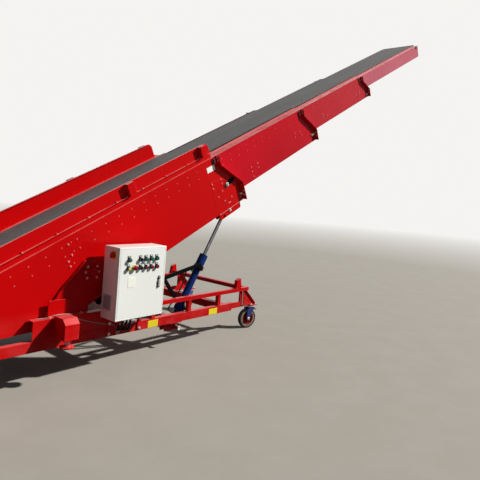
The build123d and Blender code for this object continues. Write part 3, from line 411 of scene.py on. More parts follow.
def paintFinish(name, settings):
    # Sprayed paint over steel: tone drifts over large areas, orange peel and small dents in the
    # bump, a lighter line along the edges that is rubbed paint and painted edge highlight, a thin
    # dusting and painted sheen of the sun on faces that look up, and a rub of grime that thins with height.
    finish = Finish(name, Metallic=0.0)
    drift = finish.noise(settings["driftScale"], 2.0)
    cloud = finish.noise(settings["driftScale"] * 7.0, 4.0, 0.65)
    base = finish.blend((drift - 0.5) * 2.4 + 0.5, settings["deep"], settings["fresh"])
    soft, edge = finish.rounded(settings["edge"])
    chips = finish.noise(95.0, 5.0, 0.7)
    # Along edges the paint turns to the pale edge tone: rubbed paint and a painted highlight of lit edges.
    wornAndLitEdge = ((edge - 0.06).ramp(0.0, 0.22) * (chips - 0.42).ramp(0.0, 0.12) * settings["wear"]).kept()
    base = finish.blend(wornAndLitEdge, base, settings["bareAndLitEdge"])
    # Faces that look up lean towards the pale tint: a thin dusting and a painted sheen of the sun.
    dust = (finish.faceUp() - 0.35).ramp(0.0, 0.5) * (cloud - 0.25).ramp(0.0, 0.3) * settings["dust"]
    height = finish.axes()[2]
    if "lowTone" in settings:
        above = height.ramp(settings["lowTop"], settings["lowTop"] + 0.002)
        base = finish.blend(above, settings["lowTone"], base)
    grime = height.ramp(settings["grimeTop"], 0.0) * (cloud - 0.38).ramp(0.0, 0.3) * settings["grime"]
    finish.feed("Base Color", finish.blend((dust + grime).kept(), base, settings["dustColour"]))
    finish.feed("Roughness", (settings["rough"] + (cloud - 0.5) * 0.16 + dust * 0.5 + wornAndLitEdge * 0.12).kept())
    peel = finish.noise(420.0, 1.0) * 0.35 + finish.noise(38.0, 2.0) * 0.65
    finish.feed("Normal", finish.bump(peel, settings["peel"], 0.0016, soft))
    finish.feed("Coat Weight", (finish.faceUp() - 0.5).ramp(0.0, 0.3) * settings["coat"])
    finish.shader.inputs["Specular IOR Level"].default_value = settings["shine"]
    finish.shader.inputs["Coat Roughness"].default_value = 0.3
    return finish.material


def beltFinish(name, settings):
    # Fabric-faced rubber: a fine weave across and along, scuffed lighter in lanes by the loads.
    finish = Finish(name, Metallic=0.0)
    along, across, up = finish.axes()
    lanes = finish.noise(1.0, 3.0, 0.6, finish.stretched((0.6, 9.0, 0.6)))
    scuff = finish.noise(1.0, 5.0, 0.7, finish.stretched((6.0, 60.0, 6.0)))
    cloud = finish.noise(5.0, 4.0, 0.6)
    weave = (along * settings["weave"]).sine() * (across * settings["weave"]).sine()
    lift = ((lanes - 0.42).ramp(0.0, 0.35) * 0.6 + (scuff - 0.48).ramp(0.0, 0.3) * 0.4).kept()
    base = finish.blend(lift * settings["scuff"], settings["dark"], settings["pale"])
    dust = (cloud - 0.45).ramp(0.0, 0.4) * settings["dust"]
    finish.feed("Base Color", finish.blend(dust, base, settings["dustColour"]))
    finish.feed("Roughness", (settings["rough"] + (cloud - 0.5) * 0.2 - lift * 0.08).kept())
    finish.feed("Normal", finish.bump(weave * 0.5 + finish.noise(600.0, 2.0) * 0.7, 0.35, 0.0006))
    return finish.material


def metalFinish(name, settings):
    # Turned or plated metal: fine grooves one way, tone and gloss that drift, specks of dull rust.
    finish = Finish(name, Metallic=settings["metal"])
    grooves = finish.noise(1.0, 2.0, 0.5, finish.stretched(settings["grain"]))
    cloud = finish.noise(18.0, 4.0, 0.6)
    rust = (finish.noise(60.0, 5.0, 0.75) - settings["rustFrom"]).ramp(0.0, 0.08)
    base = finish.blend(cloud.ramp(0.3, 0.7), settings["dark"], settings["light"])
    finish.feed("Base Color", finish.blend(rust * settings["rust"], base, (104, 66, 44)))
    finish.feed("Roughness", (settings["rough"] + (grooves - 0.5) * 0.18 + rust * 0.35).kept())
    finish.feed("Normal", finish.bump(grooves, 0.12, 0.0004, finish.rounded(0.0012)[0]))
    return finish.material


def recoloured(start, deep, fresh, bareAndLitEdge=None, **changes):
    # A paint like another in other tones.
    return {**start, "deep": deep, "fresh": fresh, "bareAndLitEdge": bareAndLitEdge or start["bareAndLitEdge"], **changes}


# The reds' pale pink edge tone is rubbed paint and painted edge highlight.
redPaint = {"deep": (180, 2, 4), "fresh": (198, 3, 6), "bareAndLitEdge": (222, 104, 98), "rough": 0.36,
            "driftScale": 0.7, "edge": 0.0025, "wear": 0.5, "dust": 0.3, "grime": 0.3, "grimeTop": 0.55,
            "dustColour": (226, 120, 118), "peel": 0.28, "shine": 0.07, "coat": 0.5}
# On the boom the pale pink on faces that look up is strong: dusting and painted sheen.
boomPaint = {**redPaint, "dust": 1.15, "dustColour": (232, 122, 120), "wear": 0.7, "edge": 0.003}
bluePaint = recoloured(redPaint, (14, 38, 98), (26, 54, 120), (120, 136, 176), dustColour=(110, 108, 116),
                       wear=0.4, edge=0.002, coat=0.2)
blackPaint = recoloured(redPaint, (7, 7, 9), (15, 15, 17), (90, 90, 92), dustColour=(64, 60, 58), edge=0.0015,
                        rough=0.55, wear=0.3, shine=0.03, coat=0.0, dust=0.25)
plastic = {**blackPaint, "shine": 0.2, "rough": 0.5, "wear": 0.2, "peel": 0.2}
smoothPlastic = {**plastic, "rough": 0.28}
boltPaint = {**redPaint, "edge": 0.0008, "rough": 0.3}
paints = {
    "frameRed": redPaint,
    "stageOneRed": boomPaint,
    "stageTwoRed": recoloured(boomPaint, (178, 3, 22), (196, 8, 30), dustColour=(230, 130, 128)),
    "stageThreeRed": recoloured(boomPaint, (170, 20, 32), (186, 32, 44), dustColour=(242, 170, 170)),
    "stageFourRed": recoloured(boomPaint, (172, 78, 92), (190, 94, 110), dustColour=(244, 186, 188)),
    "cylinderBlue": bluePaint,
    "forkBlue": recoloured(bluePaint, (54, 62, 122), (74, 84, 146), rough=0.3),
    "cabinetWhite": recoloured(redPaint, (230, 231, 226), (243, 244, 238), (250, 250, 250),
                               dustColour=(236, 222, 216), wear=0.2, grime=0.05, edge=0.002, peel=0.4,
                               dust=0.2, rough=0.42, shine=0.35),
    "driveGrey": recoloured(redPaint, (186, 188, 186), (206, 208, 206), (226, 228, 226),
                            dustColour=(150, 142, 132), edge=0.002, shine=0.35),
    "armBlack": blackPaint,
    "armBlackBlue": {**blackPaint, "lowTone": (20, 44, 106), "lowTop": 0.435},
    "blackPlastic": plastic,
    "padWhite": recoloured(plastic, (198, 196, 186), (224, 222, 212), (240, 238, 230)),
    "buttonGreen": recoloured(smoothPlastic, (14, 96, 76), (24, 118, 94), (90, 160, 130)),
    "buttonBlack": smoothPlastic,
    "buttonRed": recoloured(smoothPlastic, (132, 10, 34), (160, 18, 44), (224, 110, 110)),
    # The knob's red is brighter than the buttons': painted light that keeps it looking lit on the cabinet's
    # shaded side.
    "knobRedLit": recoloured(smoothPlastic, (222, 8, 26), (236, 14, 34), (246, 120, 120)),
    "buttonYellow": recoloured(plastic, (206, 188, 70), (222, 206, 96), (240, 230, 160)),
    "legendWhite": recoloured(plastic, (226, 226, 220), (242, 242, 238), (250, 250, 248)),
    "signPale": recoloured(plastic, (240, 240, 226), (248, 248, 236), (248, 246, 236)),
    "plateYellow": recoloured(plastic, (232, 204, 30), (246, 226, 54), (248, 236, 150)),
    "greyPlastic": recoloured(plastic, (168, 166, 168), (190, 188, 188), (206, 204, 204)),
    "meshGrey": recoloured(plastic, (112, 110, 112), (134, 132, 134)),
    "conduitDark": recoloured(plastic, (26, 24, 26), (44, 40, 42), rough=0.42),
    "bandCream": recoloured(plastic, (150, 134, 110), (196, 180, 150), (216, 204, 178), driftScale=9.0),
    # Near-black red for the strips beside the belts: painted shade of the gap there.
    "shadeStripDark": recoloured(plastic, (30, 6, 10), (44, 10, 14), dust=0.0, shine=0.03),
    "cableGrey": recoloured(plastic, (150, 138, 136), (176, 164, 160), (150, 148, 146)),
    # Bolt heads in pale pink: rubbed paint with a painted highlight of the sun on the heads.
    "boltWornAndHighlit": recoloured(boltPaint, (226, 104, 108), (242, 140, 138), shine=0.3),
    "boltPale": recoloured(boltPaint, (206, 140, 138), (226, 172, 168), shine=0.4),
    "rivetRed": recoloured(boltPaint, (216, 62, 66), (234, 92, 92), edge=0.0006),
    # Bed sheets beside the belt in pale pink: dusty paint with a painted sheen of the low sun.
    "bedDustSheenPink": recoloured(redPaint, (184, 100, 100), (198, 116, 114), rough=0.45),
    "coreRed": recoloured(redPaint, (112, 10, 14), (140, 16, 20), rough=0.5, edge=0.0015),
}
beltGrey = {"dark": (66, 65, 66), "pale": (92, 90, 88), "scuff": 0.55, "dust": 0.35,
            "dustColour": (104, 96, 90), "rough": 0.62, "weave": 2600.0}
belts = {"beltGrey": beltGrey,
         "tyreBlack": {**beltGrey, "dark": (17, 17, 19), "pale": (40, 39, 38), "dust": 0.4, "rough": 0.7,
                       "dustColour": (78, 70, 64)}}
chrome = {"metal": 1.0, "grain": (40.0, 400.0, 40.0), "dark": (196, 200, 205), "light": (228, 230, 232),
          "rough": 0.14, "rust": 0.05, "rustFrom": 0.66}
zinc = {**chrome, "dark": (200, 196, 188), "light": (228, 224, 216), "rough": 0.34, "rust": 0.2,
        "rustFrom": 0.62, "grain": (200.0, 200.0, 200.0), "metal": 0.4}
metals = {"chrome": chrome, "zinc": zinc,
          "rodSteel": {**chrome, "dark": (92, 94, 98), "light": (138, 140, 144), "rough": 0.2},
          "drumSteel": {**zinc, "metal": 1.0, "dark": (120, 122, 124), "light": (168, 170, 172),
                        "grain": (10.0, 300.0, 10.0)}}
finishes = {name: make(name, settings)
            for make, table in ((paintFinish, paints), (beltFinish, belts), (metalFinish, metals))
            for name, settings in table.items()}
print("finishes made:", len(finishes))

# Which finish each CAD node wears, by how its name starts, or else ends.
nodeStarts = {"cabinet_shell": "cabinetWhite", "cabinet_door": "cabinetWhite",
              "cabinet_conduits": "blackPlastic", "isolator_switch": "blackPlastic",
              "door_": "blackPlastic", "power_unit": "driveGrey",
              "drive_motor": "driveGrey", "tail_drum": "drumSteel", "tail_bearings": "driveGrey",
              "stage_4_drums": "drumSteel", "stage_1_side": "stageOneRed", "belt_guards": "stageOneRed",
              "stage_2_side": "stageTwoRed", "stage_3_side": "stageThreeRed", "stage_4_side": "stageFourRed",
              "cylinder_barrel_": "cylinderBlue", "cylinder_rod_": "rodSteel", "hose_arm_": "armBlackBlue",
              "castor_fork_": "forkBlue", "front_tyre_": "tyreBlack", "rear_tyre_": "tyreBlack",
              "front_wheel_core_": "coreRed", "rear_wheel_core_": "coreRed"}
nodeEndings = {"_belt": "beltGrey", "_slide_pads": "padWhite", "_bed": "bedDustSheenPink"}
for node, piece in frame["nodes"].items():
    chosen = [kind for start, kind in nodeStarts.items() if node.startswith(start)]
    chosen += [kind for ending, kind in nodeEndings.items() if node.endswith(ending)]
    piece.data.materials.clear()
    piece.data.materials.append(finishes[(chosen + ["frameRed"])[0]])
print("CAD pieces dressed:", len(frame["nodes"]))

cabinet = {"left": 0.062, "right": 0.562, "front": -0.75, "back": -0.55, "low": 0.42, "high": 1.02,
           "door": 0.02, "gap": 0.0003, "sheet": 0.0016, "corner": 0.006, "lip": 0.018}
cabinetSize = (cabinet["right"] - cabinet["left"], cabinet["high"] - cabinet["low"])
cabinetMiddle = np.array([(cabinet["left"] + cabinet["right"]) / 2, cabinet["front"],
                          (cabinet["low"] + cabinet["high"]) / 2])


def onFace(x, z):
    # A place on the cabinet's front.
    return np.array([x, cabinet["front"], z])


# The case is a cup: rings from the back plate's middle, round its edge, forward along the outside,
# in over the folded lip, and back along the inside. Depth 0 is the door's front. The door is one too.
wall, lip = cabinet["sheet"], cabinet["lip"]
deep, mouth = cabinet["front"] - cabinet["back"], -cabinet["door"] - cabinet["gap"]
fold = 0.003 - cabinet["door"]
caseRings = [(0.004, deep), (0.001, deep + 0.001), (0.0, deep + 0.004), (0.0, mouth - 0.001), (0.001, mouth),
             (lip, mouth), (lip + 0.001, mouth - 0.001), (lip + 0.001, mouth - 0.01), (lip, mouth - 0.01),
             (lip, mouth - 0.003), (wall, mouth - 0.003), (wall, deep + wall)]
doorRings = [(0.0165, 0.0), (0.016, -0.0012), (0.013, -0.0012), (0.0125, 0.0), (0.006, 0.0),
             (0.0022, -0.0006), (0.0007, -0.0022), (0.0001, -0.005), (0.0001, fold), (wall, fold),
             (wall, -0.006), (wall + 0.003, -wall - 0.0006)]
sealRings = mm((6, 0), (4, 1.4), (6, 2.7), (12, 2.7), (14, 1.4), (12, 0))
for name, rings, body, node in (("cabinetCase", caseRings, "chassis", "cabinet_shell"),
                                ("cabinetDoor", doorRings, "cabinet_door", "cabinet_door")):
    putIn(name, [laid(lofted(*cabinetSize, cabinet["corner"], rings), cabinetMiddle)], "cabinetWhite", body,
          stands=[node])
# The seal stands in the gap that the door leaves, as a rubber frame.
sealPlace = cabinetMiddle + [0, cabinet["door"] + 0.0001, 0]
putIn("doorSeal", [laid(hoop(*cabinetSize, 0.004, sealRings), sealPlace)], "blackPlastic")

# Buttons: height of each row, and the place along it and colour of each.
buttonRows = {0.918: {0.162: "Green", 0.277: "Black", 0.334: "Green", 0.393: "Green", 0.453: "Green"},
              0.848: {0.157: "Yellow", 0.28: "Black", 0.34: "Red", 0.396: "Red", 0.457: "Red"}}
buttonBezel = mm((0, 0), (17.8, 0), (17.8, 4), (17, 5.2), (16.6, 18), (15.6, 20), (14, 20), (13.4, 18.5),
                 (13.2, 12), (0, 12))
buttonCap = mm((0, 11.5), (12.8, 11.5), (12.8, 23.8), (11.8, 25.6), (6.6, 26.6), (0, 27))
bezelRing = mm((13.6, 19.5), (17.2, 17.5), (17.7, 20), (16.8, 21.2), (14.6, 21.2))
buttons = [(onFace(x, z), colour) for z, row in buttonRows.items() for x, colour in row.items()]
places = [place for place, colour in buttons]
putIn("buttonBezels", [repeated(turned(buttonBezel, steps=24), places)], "buttonBlack", "cabinet_door",
      stands=["door_controls"])
for colour in ("Black", "Green", "Red", "Yellow"):
    caps = repeated(turned(buttonCap, steps=20), [place for place, each in buttons if each == colour])
    putIn(f"button{colour}Caps", [caps], f"button{colour}", "cabinet_door")
putIn("bezelRings", [repeated(closedRing(bezelRing), places)], "rodSteel", "cabinet_door")
# Legend holders and white tags over each button; the white tags also stand for the glints on the bezel tops,
# a painted highlight.
for name, shape, step, finish in (
        ("legendHolders", cushion(0.03, 0.017, 0.0034, 0.002, 0.0006), (0, 0, 0.025), "buttonBlack"),
        ("legendTagsAndGlints", cushion(0.021, 0.0065, 0.0008, 0.0008, 0.0002), (0, -0.0033, 0.026), "legendWhite")):
    putIn(name, [laid(shape, place + step) for place in places], finish, "cabinet_door")

mushroomHead = mm((0, 6), (9.5, 6), (9.5, 16.5), (12.5, 18), (21.5, 19.5), (22, 21.5), (21.2, 25), (18, 28.5),
                  (11, 31.2), (0, 32.2))
stopCollar = mm((0, 0), (23.5, 0), (24, 1), (24, 3.2), (22.8, 4.8), (15, 6.2), (0, 6.2))
stopPlace = onFace(0.221, 0.852)
putIn("stopCollar", [turned(stopCollar, stopPlace, outward)], "buttonYellow", "cabinet_door")
putIn("stopButton", [turned(mushroomHead, stopPlace, outward, 32)], "buttonRed", "cabinet_door")
blankSign = {"place": (0.201, 0.731), "width": 0.076, "height": 0.088, "thickness": 0.0008}
signShape = cushion(blankSign["width"], blankSign["height"], blankSign["thickness"], 0.003, 0.0003)
putIn("blankSign", [laid(signShape, onFace(*blankSign["place"]))], "signPale", "cabinet_door")

# The swing handle: an oblong rose, a lever that thickens to its pull and a lock barrel.
handle = {"place": (0.497, 0.712), "rose": (0.028, 0.104), "lever": (0.02, 0.066), "leverDrop": 0.012,
          "lockRise": 0.036}
handlePlace = onFace(*handle["place"])
leverRings = mm((2.2, 4), (0.4, 5.2), (0, 10.5), (1.2, 14.2), (4, 15.6))
lockBarrel = mm((0, 4), (9.5, 4), (9.5, 8.5), (8.8, 9.6), (0, 9.6))
keyway = block(handlePlace + [-0.0008, -0.0101, 0.0315], handlePlace + [0.0008, -0.0092, 0.0405], 0.0003, 1)
rose = laid(cushion(*handle["rose"], 0.005, 0.0135, 0.002, 6), handlePlace)
lever = laid(lofted(*handle["lever"], 0.0095, leverRings, 6), handlePlace - [0, 0, handle["leverDrop"]])
lock = turned(lockBarrel, handlePlace + [0, 0, handle["lockRise"]], outward, 20)
putIn("doorHandle", [rose], "blackPlastic", "cabinet_door", stands=["door_handle"])
putIn("handleLever", [lever], "zinc", "cabinet_door")
putIn("lockBarrel", [lock], "chrome", "cabinet_door")
putIn("lockKeyway", [keyway], "blackPlastic", "cabinet_door")

# The isolator on the side: a square plate, a round boss with a step, and a waisted grip with a pointer.
isolator = {"y": -0.679, "z": 0.955, "plate": 0.066, "grip": (0.016, 0.05), "pointer": (-0.0388, 0, 0.0135)}
isolatorPlace = np.array([cabinet["left"], isolator["y"], isolator["z"]])
boss = mm((0, 3), (27.5, 3), (27.5, 12), (26.5, 14.5), (25.5, 15), (25, 24), (23, 26.5), (0, 26.8))
gripRings = mm((0, 24), (0.8, 28), (2.2, 34), (4.2, 38.2), (6.5, 39.5))
grip = laid(lofted(*isolator["grip"], 0.0075, gripRings, 5), isolatorPlace, outward)
pointer = laid(cushion(0.0036, 0.02, 0.0012, 0.0012, 0.0004), isolatorPlace + isolator["pointer"], outward)
plate = laid(cushion(isolator["plate"], isolator["plate"], 0.004, 0.006, 0.0012), isolatorPlace, outward)
putIn("isolatorPlate", [plate], "plateYellow", stands=["isolator_switch"])
putIn("isolatorKnob", [turned(boss, isolatorPlace, (-1, 0, 0)), grip], "knobRedLit")
putIn("isolatorPointer", [pointer], "legendWhite")

# The fan grille low on the same side: a frame, sloping slats and the mesh behind them.
grille = {"place": (cabinet["left"], -0.628, 0.56), "width": 0.112, "height": 0.128, "slats": 11}
frameRings = mm((10, 0.4), (0, 0.4), (0.5, 5), (2.2, 6.8), (8.8, 6.8), (10, 5.2))
slatSection = mm((-4.5, 0.8), (-3.8, 0.4), (4.2, 5), (4.5, 5.8), (3.6, 5.8))
halfSlat = grille["width"] / 2 - 0.0105
slats = [laid(prism(slatSection, -halfSlat, halfSlat), np.array(grille["place"]) + [0, 0, height], outward)
         for height in np.linspace(-0.5, 0.5, grille["slats"]) * (grille["height"] - 0.03)]
grilleFrame = laid(hoop(grille["width"], grille["height"], 0.004, frameRings), grille["place"], outward)
grilleMesh = cushion(grille["width"] - 0.018, grille["height"] - 0.018, 0.0006, 0.003, 0.0002)
putIn("fanGrille", [grilleFrame, *slats], "greyPlastic")
putIn("fanGrilleMesh", [laid(grilleMesh, grille["place"], outward)], "meshGrey")
print("cabinet dressed")

# Ribbed conduits, each at its x and its height at the frame: radius less a rib's depth x (half + half cos)^2.
conduits = {"paths": {0.33: 0.277, 0.29: 0.283, 0.25: 0.289}, "radius": 0.0105, "rib": 0.0011,
            "start": (-0.61, 0.42), "end": -0.55, "pitch": 0.0048}
topGland = mm((0, 0), (16.5, 0), (16.5, 9), (15, 10.5), (13.5, 20), (11.8, 24), (0, 24))
lowGland = mm((0, 0), (16.8, 0), (16.8, 7), (15, 8.5), (13.2, 16), (11.6, 19), (0, 19))
conduitShapes, glandShapes = [], []
startY, startZ = conduits["start"]
for x, low in conduits["paths"].items():
    line = curve([(x, startY, startZ - 0.012), (x, startY + 0.001, startZ - 0.06),
                  (x, startY + 0.012, low + 0.022), (x, startY + 0.034, low + 0.003),
                  (x, conduits["end"] - 0.012, low)], 220)
    run = np.concatenate([[0.0], np.cumsum(np.linalg.norm(np.diff(line, axis=0), axis=1))])
    ribs = conduits["rib"] * (0.5 + 0.5 * np.cos(2 * math.pi * run / conduits["pitch"])) ** 2
    conduitShapes.append(pipe(line, conduits["radius"] - ribs, 14, (1, 0, 0)))
    glandShapes += [turned(topGland, (x, startY, startZ), (0, 0, -1), 6),
                    turned(lowGland, (x, conduits["end"], low), outward, 18)]
putIn("conduitHoses", conduitShapes, "conduitDark", stands=["cabinet_conduits"])
putIn("conduitGlands", glandShapes, "blackPlastic")
print("conduits dressed")

# Wheels: tread, pale band, and a core of rim, hub, web and spokes, each with its count of steps round.
treadProfile = mm((92.5, -20.5), (95.5, -23.5), (100, -24.8), (106, -23.8), (110.3, -20.5), (111.7, -16.5),
                  (111.9, -12.5), (109.7, -11.8), (109.7, -9.8), (112, -9), (112, -2.5), (109.8, -1.6))
bandProfile = mm((77.5, -19.5), (78.2, -21.4), (84, -22.4), (90.5, -22.4), (93.5, -20.8))
rimProfile = mm((63, -17), (64, -20.5), (77, -20.8), (77.8, -19.5))
hubProfile = mm((11.5, -27), (21.5, -27), (23.5, -25), (25, -6))
webProfile = mm((20, -4.5), (64, -4.5))
coreProfiles = ((rimProfile, 48), (hubProfile, 32), (webProfile, 32))
spoke = block((0.0225, -0.0035, -0.0165), (0.0645, 0.0035, 0.0165), 0.0012, 2)
jointAxes = {joint["name"]: joint["axis"] for joint in frame["joints"]}
for end, side in ((end, side) for end in ("front", "rear") for side in sides):
    place = np.mean([np.array(corner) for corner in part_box(f"{end}_tyre_{side}")], axis=0) - origin
    axis = unit(jointAxes[f"{end}_wheel_spin_{side}"])
    tread, band = (closedRing(twoSided(profile), place, axis, 64) for profile in (treadProfile, bandProfile))
    core = [closedRing(twoSided(profile), place, axis, steps) for profile, steps in coreProfiles]
    first, other = crosswise(axis)
    for angle in np.arange(8) * math.pi / 4:
        out = math.cos(angle) * first + math.sin(angle) * other
        core.append(laid(spoke, place, out, np.cross(axis, out)))
    body = f"{end}_wheel_{side}"
    putIn(f"{end}Tread_{side}", [tread], "tyreBlack", body, stands=[f"{end}_tyre_{side}"])
    putIn(f"{end}Band_{side}", [band], "bandCream", body)
    putIn(f"{end}Core_{side}", core, "coreRed", body, stands=[f"{end}_wheel_core_{side}"])
print("wheels dressed")


def sideFace(number):
    # How far out a stage's side stands.
    return 0.47 - 0.04 * (number - 1)


def onSide(places, number, out=0.0):
    # (along, up) places on a stage's right side, or off it.
    return np.insert(np.asarray(places, float).reshape(-1, 2), 1, -sideFace(number) - out, axis=1)


def sidePlate(patch, place, turn=0.0):
    # A flat-made patch laid on stage 1's right side, turned by an angle in degrees.
    cosine, sine = math.cos(math.radians(turn)), math.sin(math.radians(turn))
    return laid(patch, onSide(place, 1)[0], (cosine, 0, sine), (-sine, 0, cosine))


# Each stage's places are (along, up). Rivets stand in two rows, from the front back by steps.
sideBolts = {
    1: [(1.743, 0.105), (1.745, 0.054), (1.598, 0.106), (1.598, 0.054), (1.725, -0.022), (1.645, -0.058),
        (1.725, -0.138), (1.843, -0.141), (1.984, -0.163), (1.982, -0.204), (2.0, -0.236), (-0.103, 0.307),
        (-0.105, 0.213), (-0.151, 0.178), (-0.151, 0.134), (-0.11, 0.073)],
    2: [(3.422, 0.083), (3.3, 0.105), (3.3, 0.054), (3.455, 0.03), (2.321, 0.019), (2.319, -0.037),
        (2.332, -0.103), (2.447, 0.02), (2.447, -0.036)],
    3: [(5.3, 0.132), (5.3, 0.1), (5.19, 0.132), (5.19, 0.1), (5.46, 0.06), (4.12, 0.06),
        (4.24, 0.06), (4.12, 0.11)],
    4: [(7.93, 0.303), (8.04, 0.303), (7.985, 0.25)]}
brightBolts = {1: [(2.012, -0.175)], 2: [(3.699, -0.046), (3.752, -0.053)], 3: [(5.56, 0.02)]}
rivetRows = {1: {"heights": (0.307, 0.23), "from": 1.437, "to": -1.22, "step": 0.1455},
             2: {"heights": (0.293, 0.2235), "from": 3.215, "to": 1.08, "step": 0.1495},
             3: {"heights": (0.286, 0.2235), "from": 5.08, "to": 2.86, "step": 0.148},
             4: {"heights": (0.282, 0.2235), "from": 7.8, "to": 4.74, "step": 0.15}}
extraRivets = {1: [(-0.074, 0.313), (-0.017, 0.314), (-0.076, 0.234), (-0.019, 0.236), (-0.111, 0.141),
                   (0.126, 0.233)]}
# The bent front flange: where its top and its foot are, for bolts with heads behind and nuts ahead.
frontFlanges = {1: (1.755, 0.37, 2.03, -0.25), 2: (3.53, 0.355, 3.775, -0.142), 3: (5.412, 0.34, 5.6, -0.024)}
# A black guide stop and its pale keeper strip stand at the top of the front.
guideStops = {1: (1.695, 0.357), 2: (3.472, 0.342), 3: (5.354, 0.327)}
# A dark red strip along each side of the belt, over the bed sheet's edge, is painted shade for the shaded gap
# there: from, to, level and edge.
shadeStrips = {2: (1.02, 3.515, 0.38, 0.3275), 3: (2.8, 5.4, 0.365, 0.3175), 4: (4.84, 7.9, 0.35, 0.3075)}
heads = {"bolt": 0.012, "rivet": (0.0065, 0.0034), "bright": 0.022, "flange": 0.016, "flangeOut": 0.027}
for number, row in rivetRows.items():
    body = f"boom_stage_{number}"
    alongs = np.arange(row["from"], row["to"], -row["step"])
    rows = [(along, height) for along in alongs for height in row["heights"]] + extraRivets.get(number, [])
    small = bolts(heads["bolt"], onSide(sideBolts[number], number))
    domes = rivets(*heads["rivet"], onSide(rows, number))
    putIn(f"stageBolts_{number}", [small], "boltWornAndHighlit", body, pair=True)
    putIn(f"stageRivets_{number}", [domes], "rivetRed", body, pair=True)
    if number in brightBolts:
        bright = bolts(heads["bright"], onSide(brightBolts[number], number))
        putIn(f"stageNuts_{number}", [bright], "zinc", body, pair=True)
    if number in frontFlanges:
        topAlong, top, footAlong, foot = frontFlanges[number]
        ahead = onSide([(topAlong, top - 0.016), (topAlong, top - 0.051), (footAlong, foot + 0.06),
                        (footAlong, foot + 0.108)], number, heads["flangeOut"])
        behind = bolts(heads["flange"], ahead - [0.005, 0, 0], (-1, 0, 0))
        putIn(f"flangeBolts_{number}", [behind, bolts(heads["flange"], ahead, lengthwise)], "boltWornAndHighlit", body,
              pair=True)
    if number in guideStops:
        along, high = guideStops[number]
        face = -sideFace(number)
        stop = block((along - 0.007, face - 0.007, high - 0.056), (along + 0.007, face, high), 0.0015, 1)
        keeper = block((along + 0.018, face - 0.005, high - 0.058), (along + 0.032, face, high - 0.001),
                       0.0015, 1)
        putIn(f"guideStop_{number}", [stop], "blackPlastic", body, pair=True)
        putIn(f"guideKeeper_{number}", [keeper], "boltPale", body, pair=True)
    # Painted shade: a dark strip where the gap beside the belt lies in shade.
    if number in shadeStrips:
        rear, front, level, edge = shadeStrips[number]
        strip = block((rear, -edge, level - 0.0025), (front, -0.3025, level + 0.0045), 0.001, 0)
        putIn(f"beltShadeStrip_{number}", [strip], "shadeStripDark", body, pair=True)

# Near the front of stage 1: a doubler plate, an adjusting slot with its bolt, a blank label and a weld tag.
doublerCorners = np.array([(1.572, 0.141), (1.572, -0.165), (1.88, -0.165), (1.96, -0.06), (1.921, 0.064)])
doublerMiddle = doublerCorners.mean(0)
adjuster = {"middle": np.array([1.858, 0.026]), "turn": 12.6, "bolt": (-0.04, -0.01)}
slotRings = mm((8, 0), (0, 0), (0, 3.6), (8, 3.6))
slotRing = sidePlate(hoop(0.196, 0.076, 0.0375, slotRings, 6, 1.0), adjuster["middle"], adjuster["turn"])
# The slot's floor is a black plate: painted shade for the dark inside of the opening.
slotShadeFloor = sidePlate(cushion(0.184, 0.064, 0.0022, 0.0315, 0.0002, 6), adjuster["middle"], adjuster["turn"])
slotBolt = bolts(0.028, onSide(adjuster["middle"] + adjuster["bolt"], 1, 0.0022))
doubler = sidePlate(slab(doublerCorners - doublerMiddle, 0.0009, 0.0004), doublerMiddle)
putIn("stageDoubler", [doubler], "frameRed", "boom_stage_1", pair=True)
putIn("slotRing", [slotRing], "frameRed", "boom_stage_1", pair=True)
putIn("slotShadeFloor", [slotShadeFloor], "armBlack", "boom_stage_1", pair=True)
putIn("slotBolt", [slotBolt], "zinc", "boom_stage_1", pair=True)
label = {"place": (1.639, 0.265), "width": 0.122, "height": 0.058, "thickness": 0.001}
labelShape = cushion(label["width"], label["height"], label["thickness"], 0.003, 0.0003)
putIn("blankLabel", [sidePlate(labelShape, label["place"])], "legendWhite", "boom_stage_1")
putIn("weldTag", [sidePlate(cushion(0.044, 0.006, 0.002, 0.002, 0.0006), (1.794, -0.186))], "boltPale",
      "boom_stage_1", pair=True)

# The rod brackets: a bolt on the outer plate, each pin's end, and a pale strip along the plate's top edge
# that is a painted highlight of that lit edge.
pinEnd = mm((0, 0), (16, 0), (16, 0.6), (14.8, 1.8), (0, 1.8))
edgeHighlightSection = mm((-468.5, -252.2), (-471.5, -251.8), (-471.5, -248.2), (-468.5, -247.8))
rodBracket = {"bolt": (1.772, -0.466, -0.268), "pin": (1.685, -0.476, -0.291), "edge": (1.602, 1.955)}
rodPinEnd = turned(pinEnd, rodBracket["pin"], outward, 20)
putIn("bracketBolts", [bolts(0.024, rodBracket["bolt"])], "zinc", "boom_stage_1", pair=True)
putIn("rodPinEnds", [rodPinEnd], "frameRed", "boom_stage_1", pair=True)
putIn("bracketEdgeHighlights", [prism(edgeHighlightSection, *rodBracket["edge"])], "boltPale", "boom_stage_1", pair=True)

# Belt guards: bolts through the lip at every post's foot and between the posts.
guards = {"posts": (-0.88, 0.62, 1.585), "y": -0.461, "up": 0.422, "clear": 0.09}
alongs = [post + step for post in guards["posts"] for step in (-0.055, 0.055)]
alongs += [along for along in np.arange(-1.05, 1.6, 0.3)
           if min(abs(along - post) for post in guards["posts"]) > guards["clear"]]
guardPlaces = [(along, guards["y"], guards["up"]) for along in alongs]
putIn("guardBolts", [bolts(0.013, guardPlaces, upward)], "boltWornAndHighlit", "boom_stage_1", pair=True)
print("stages dressed")

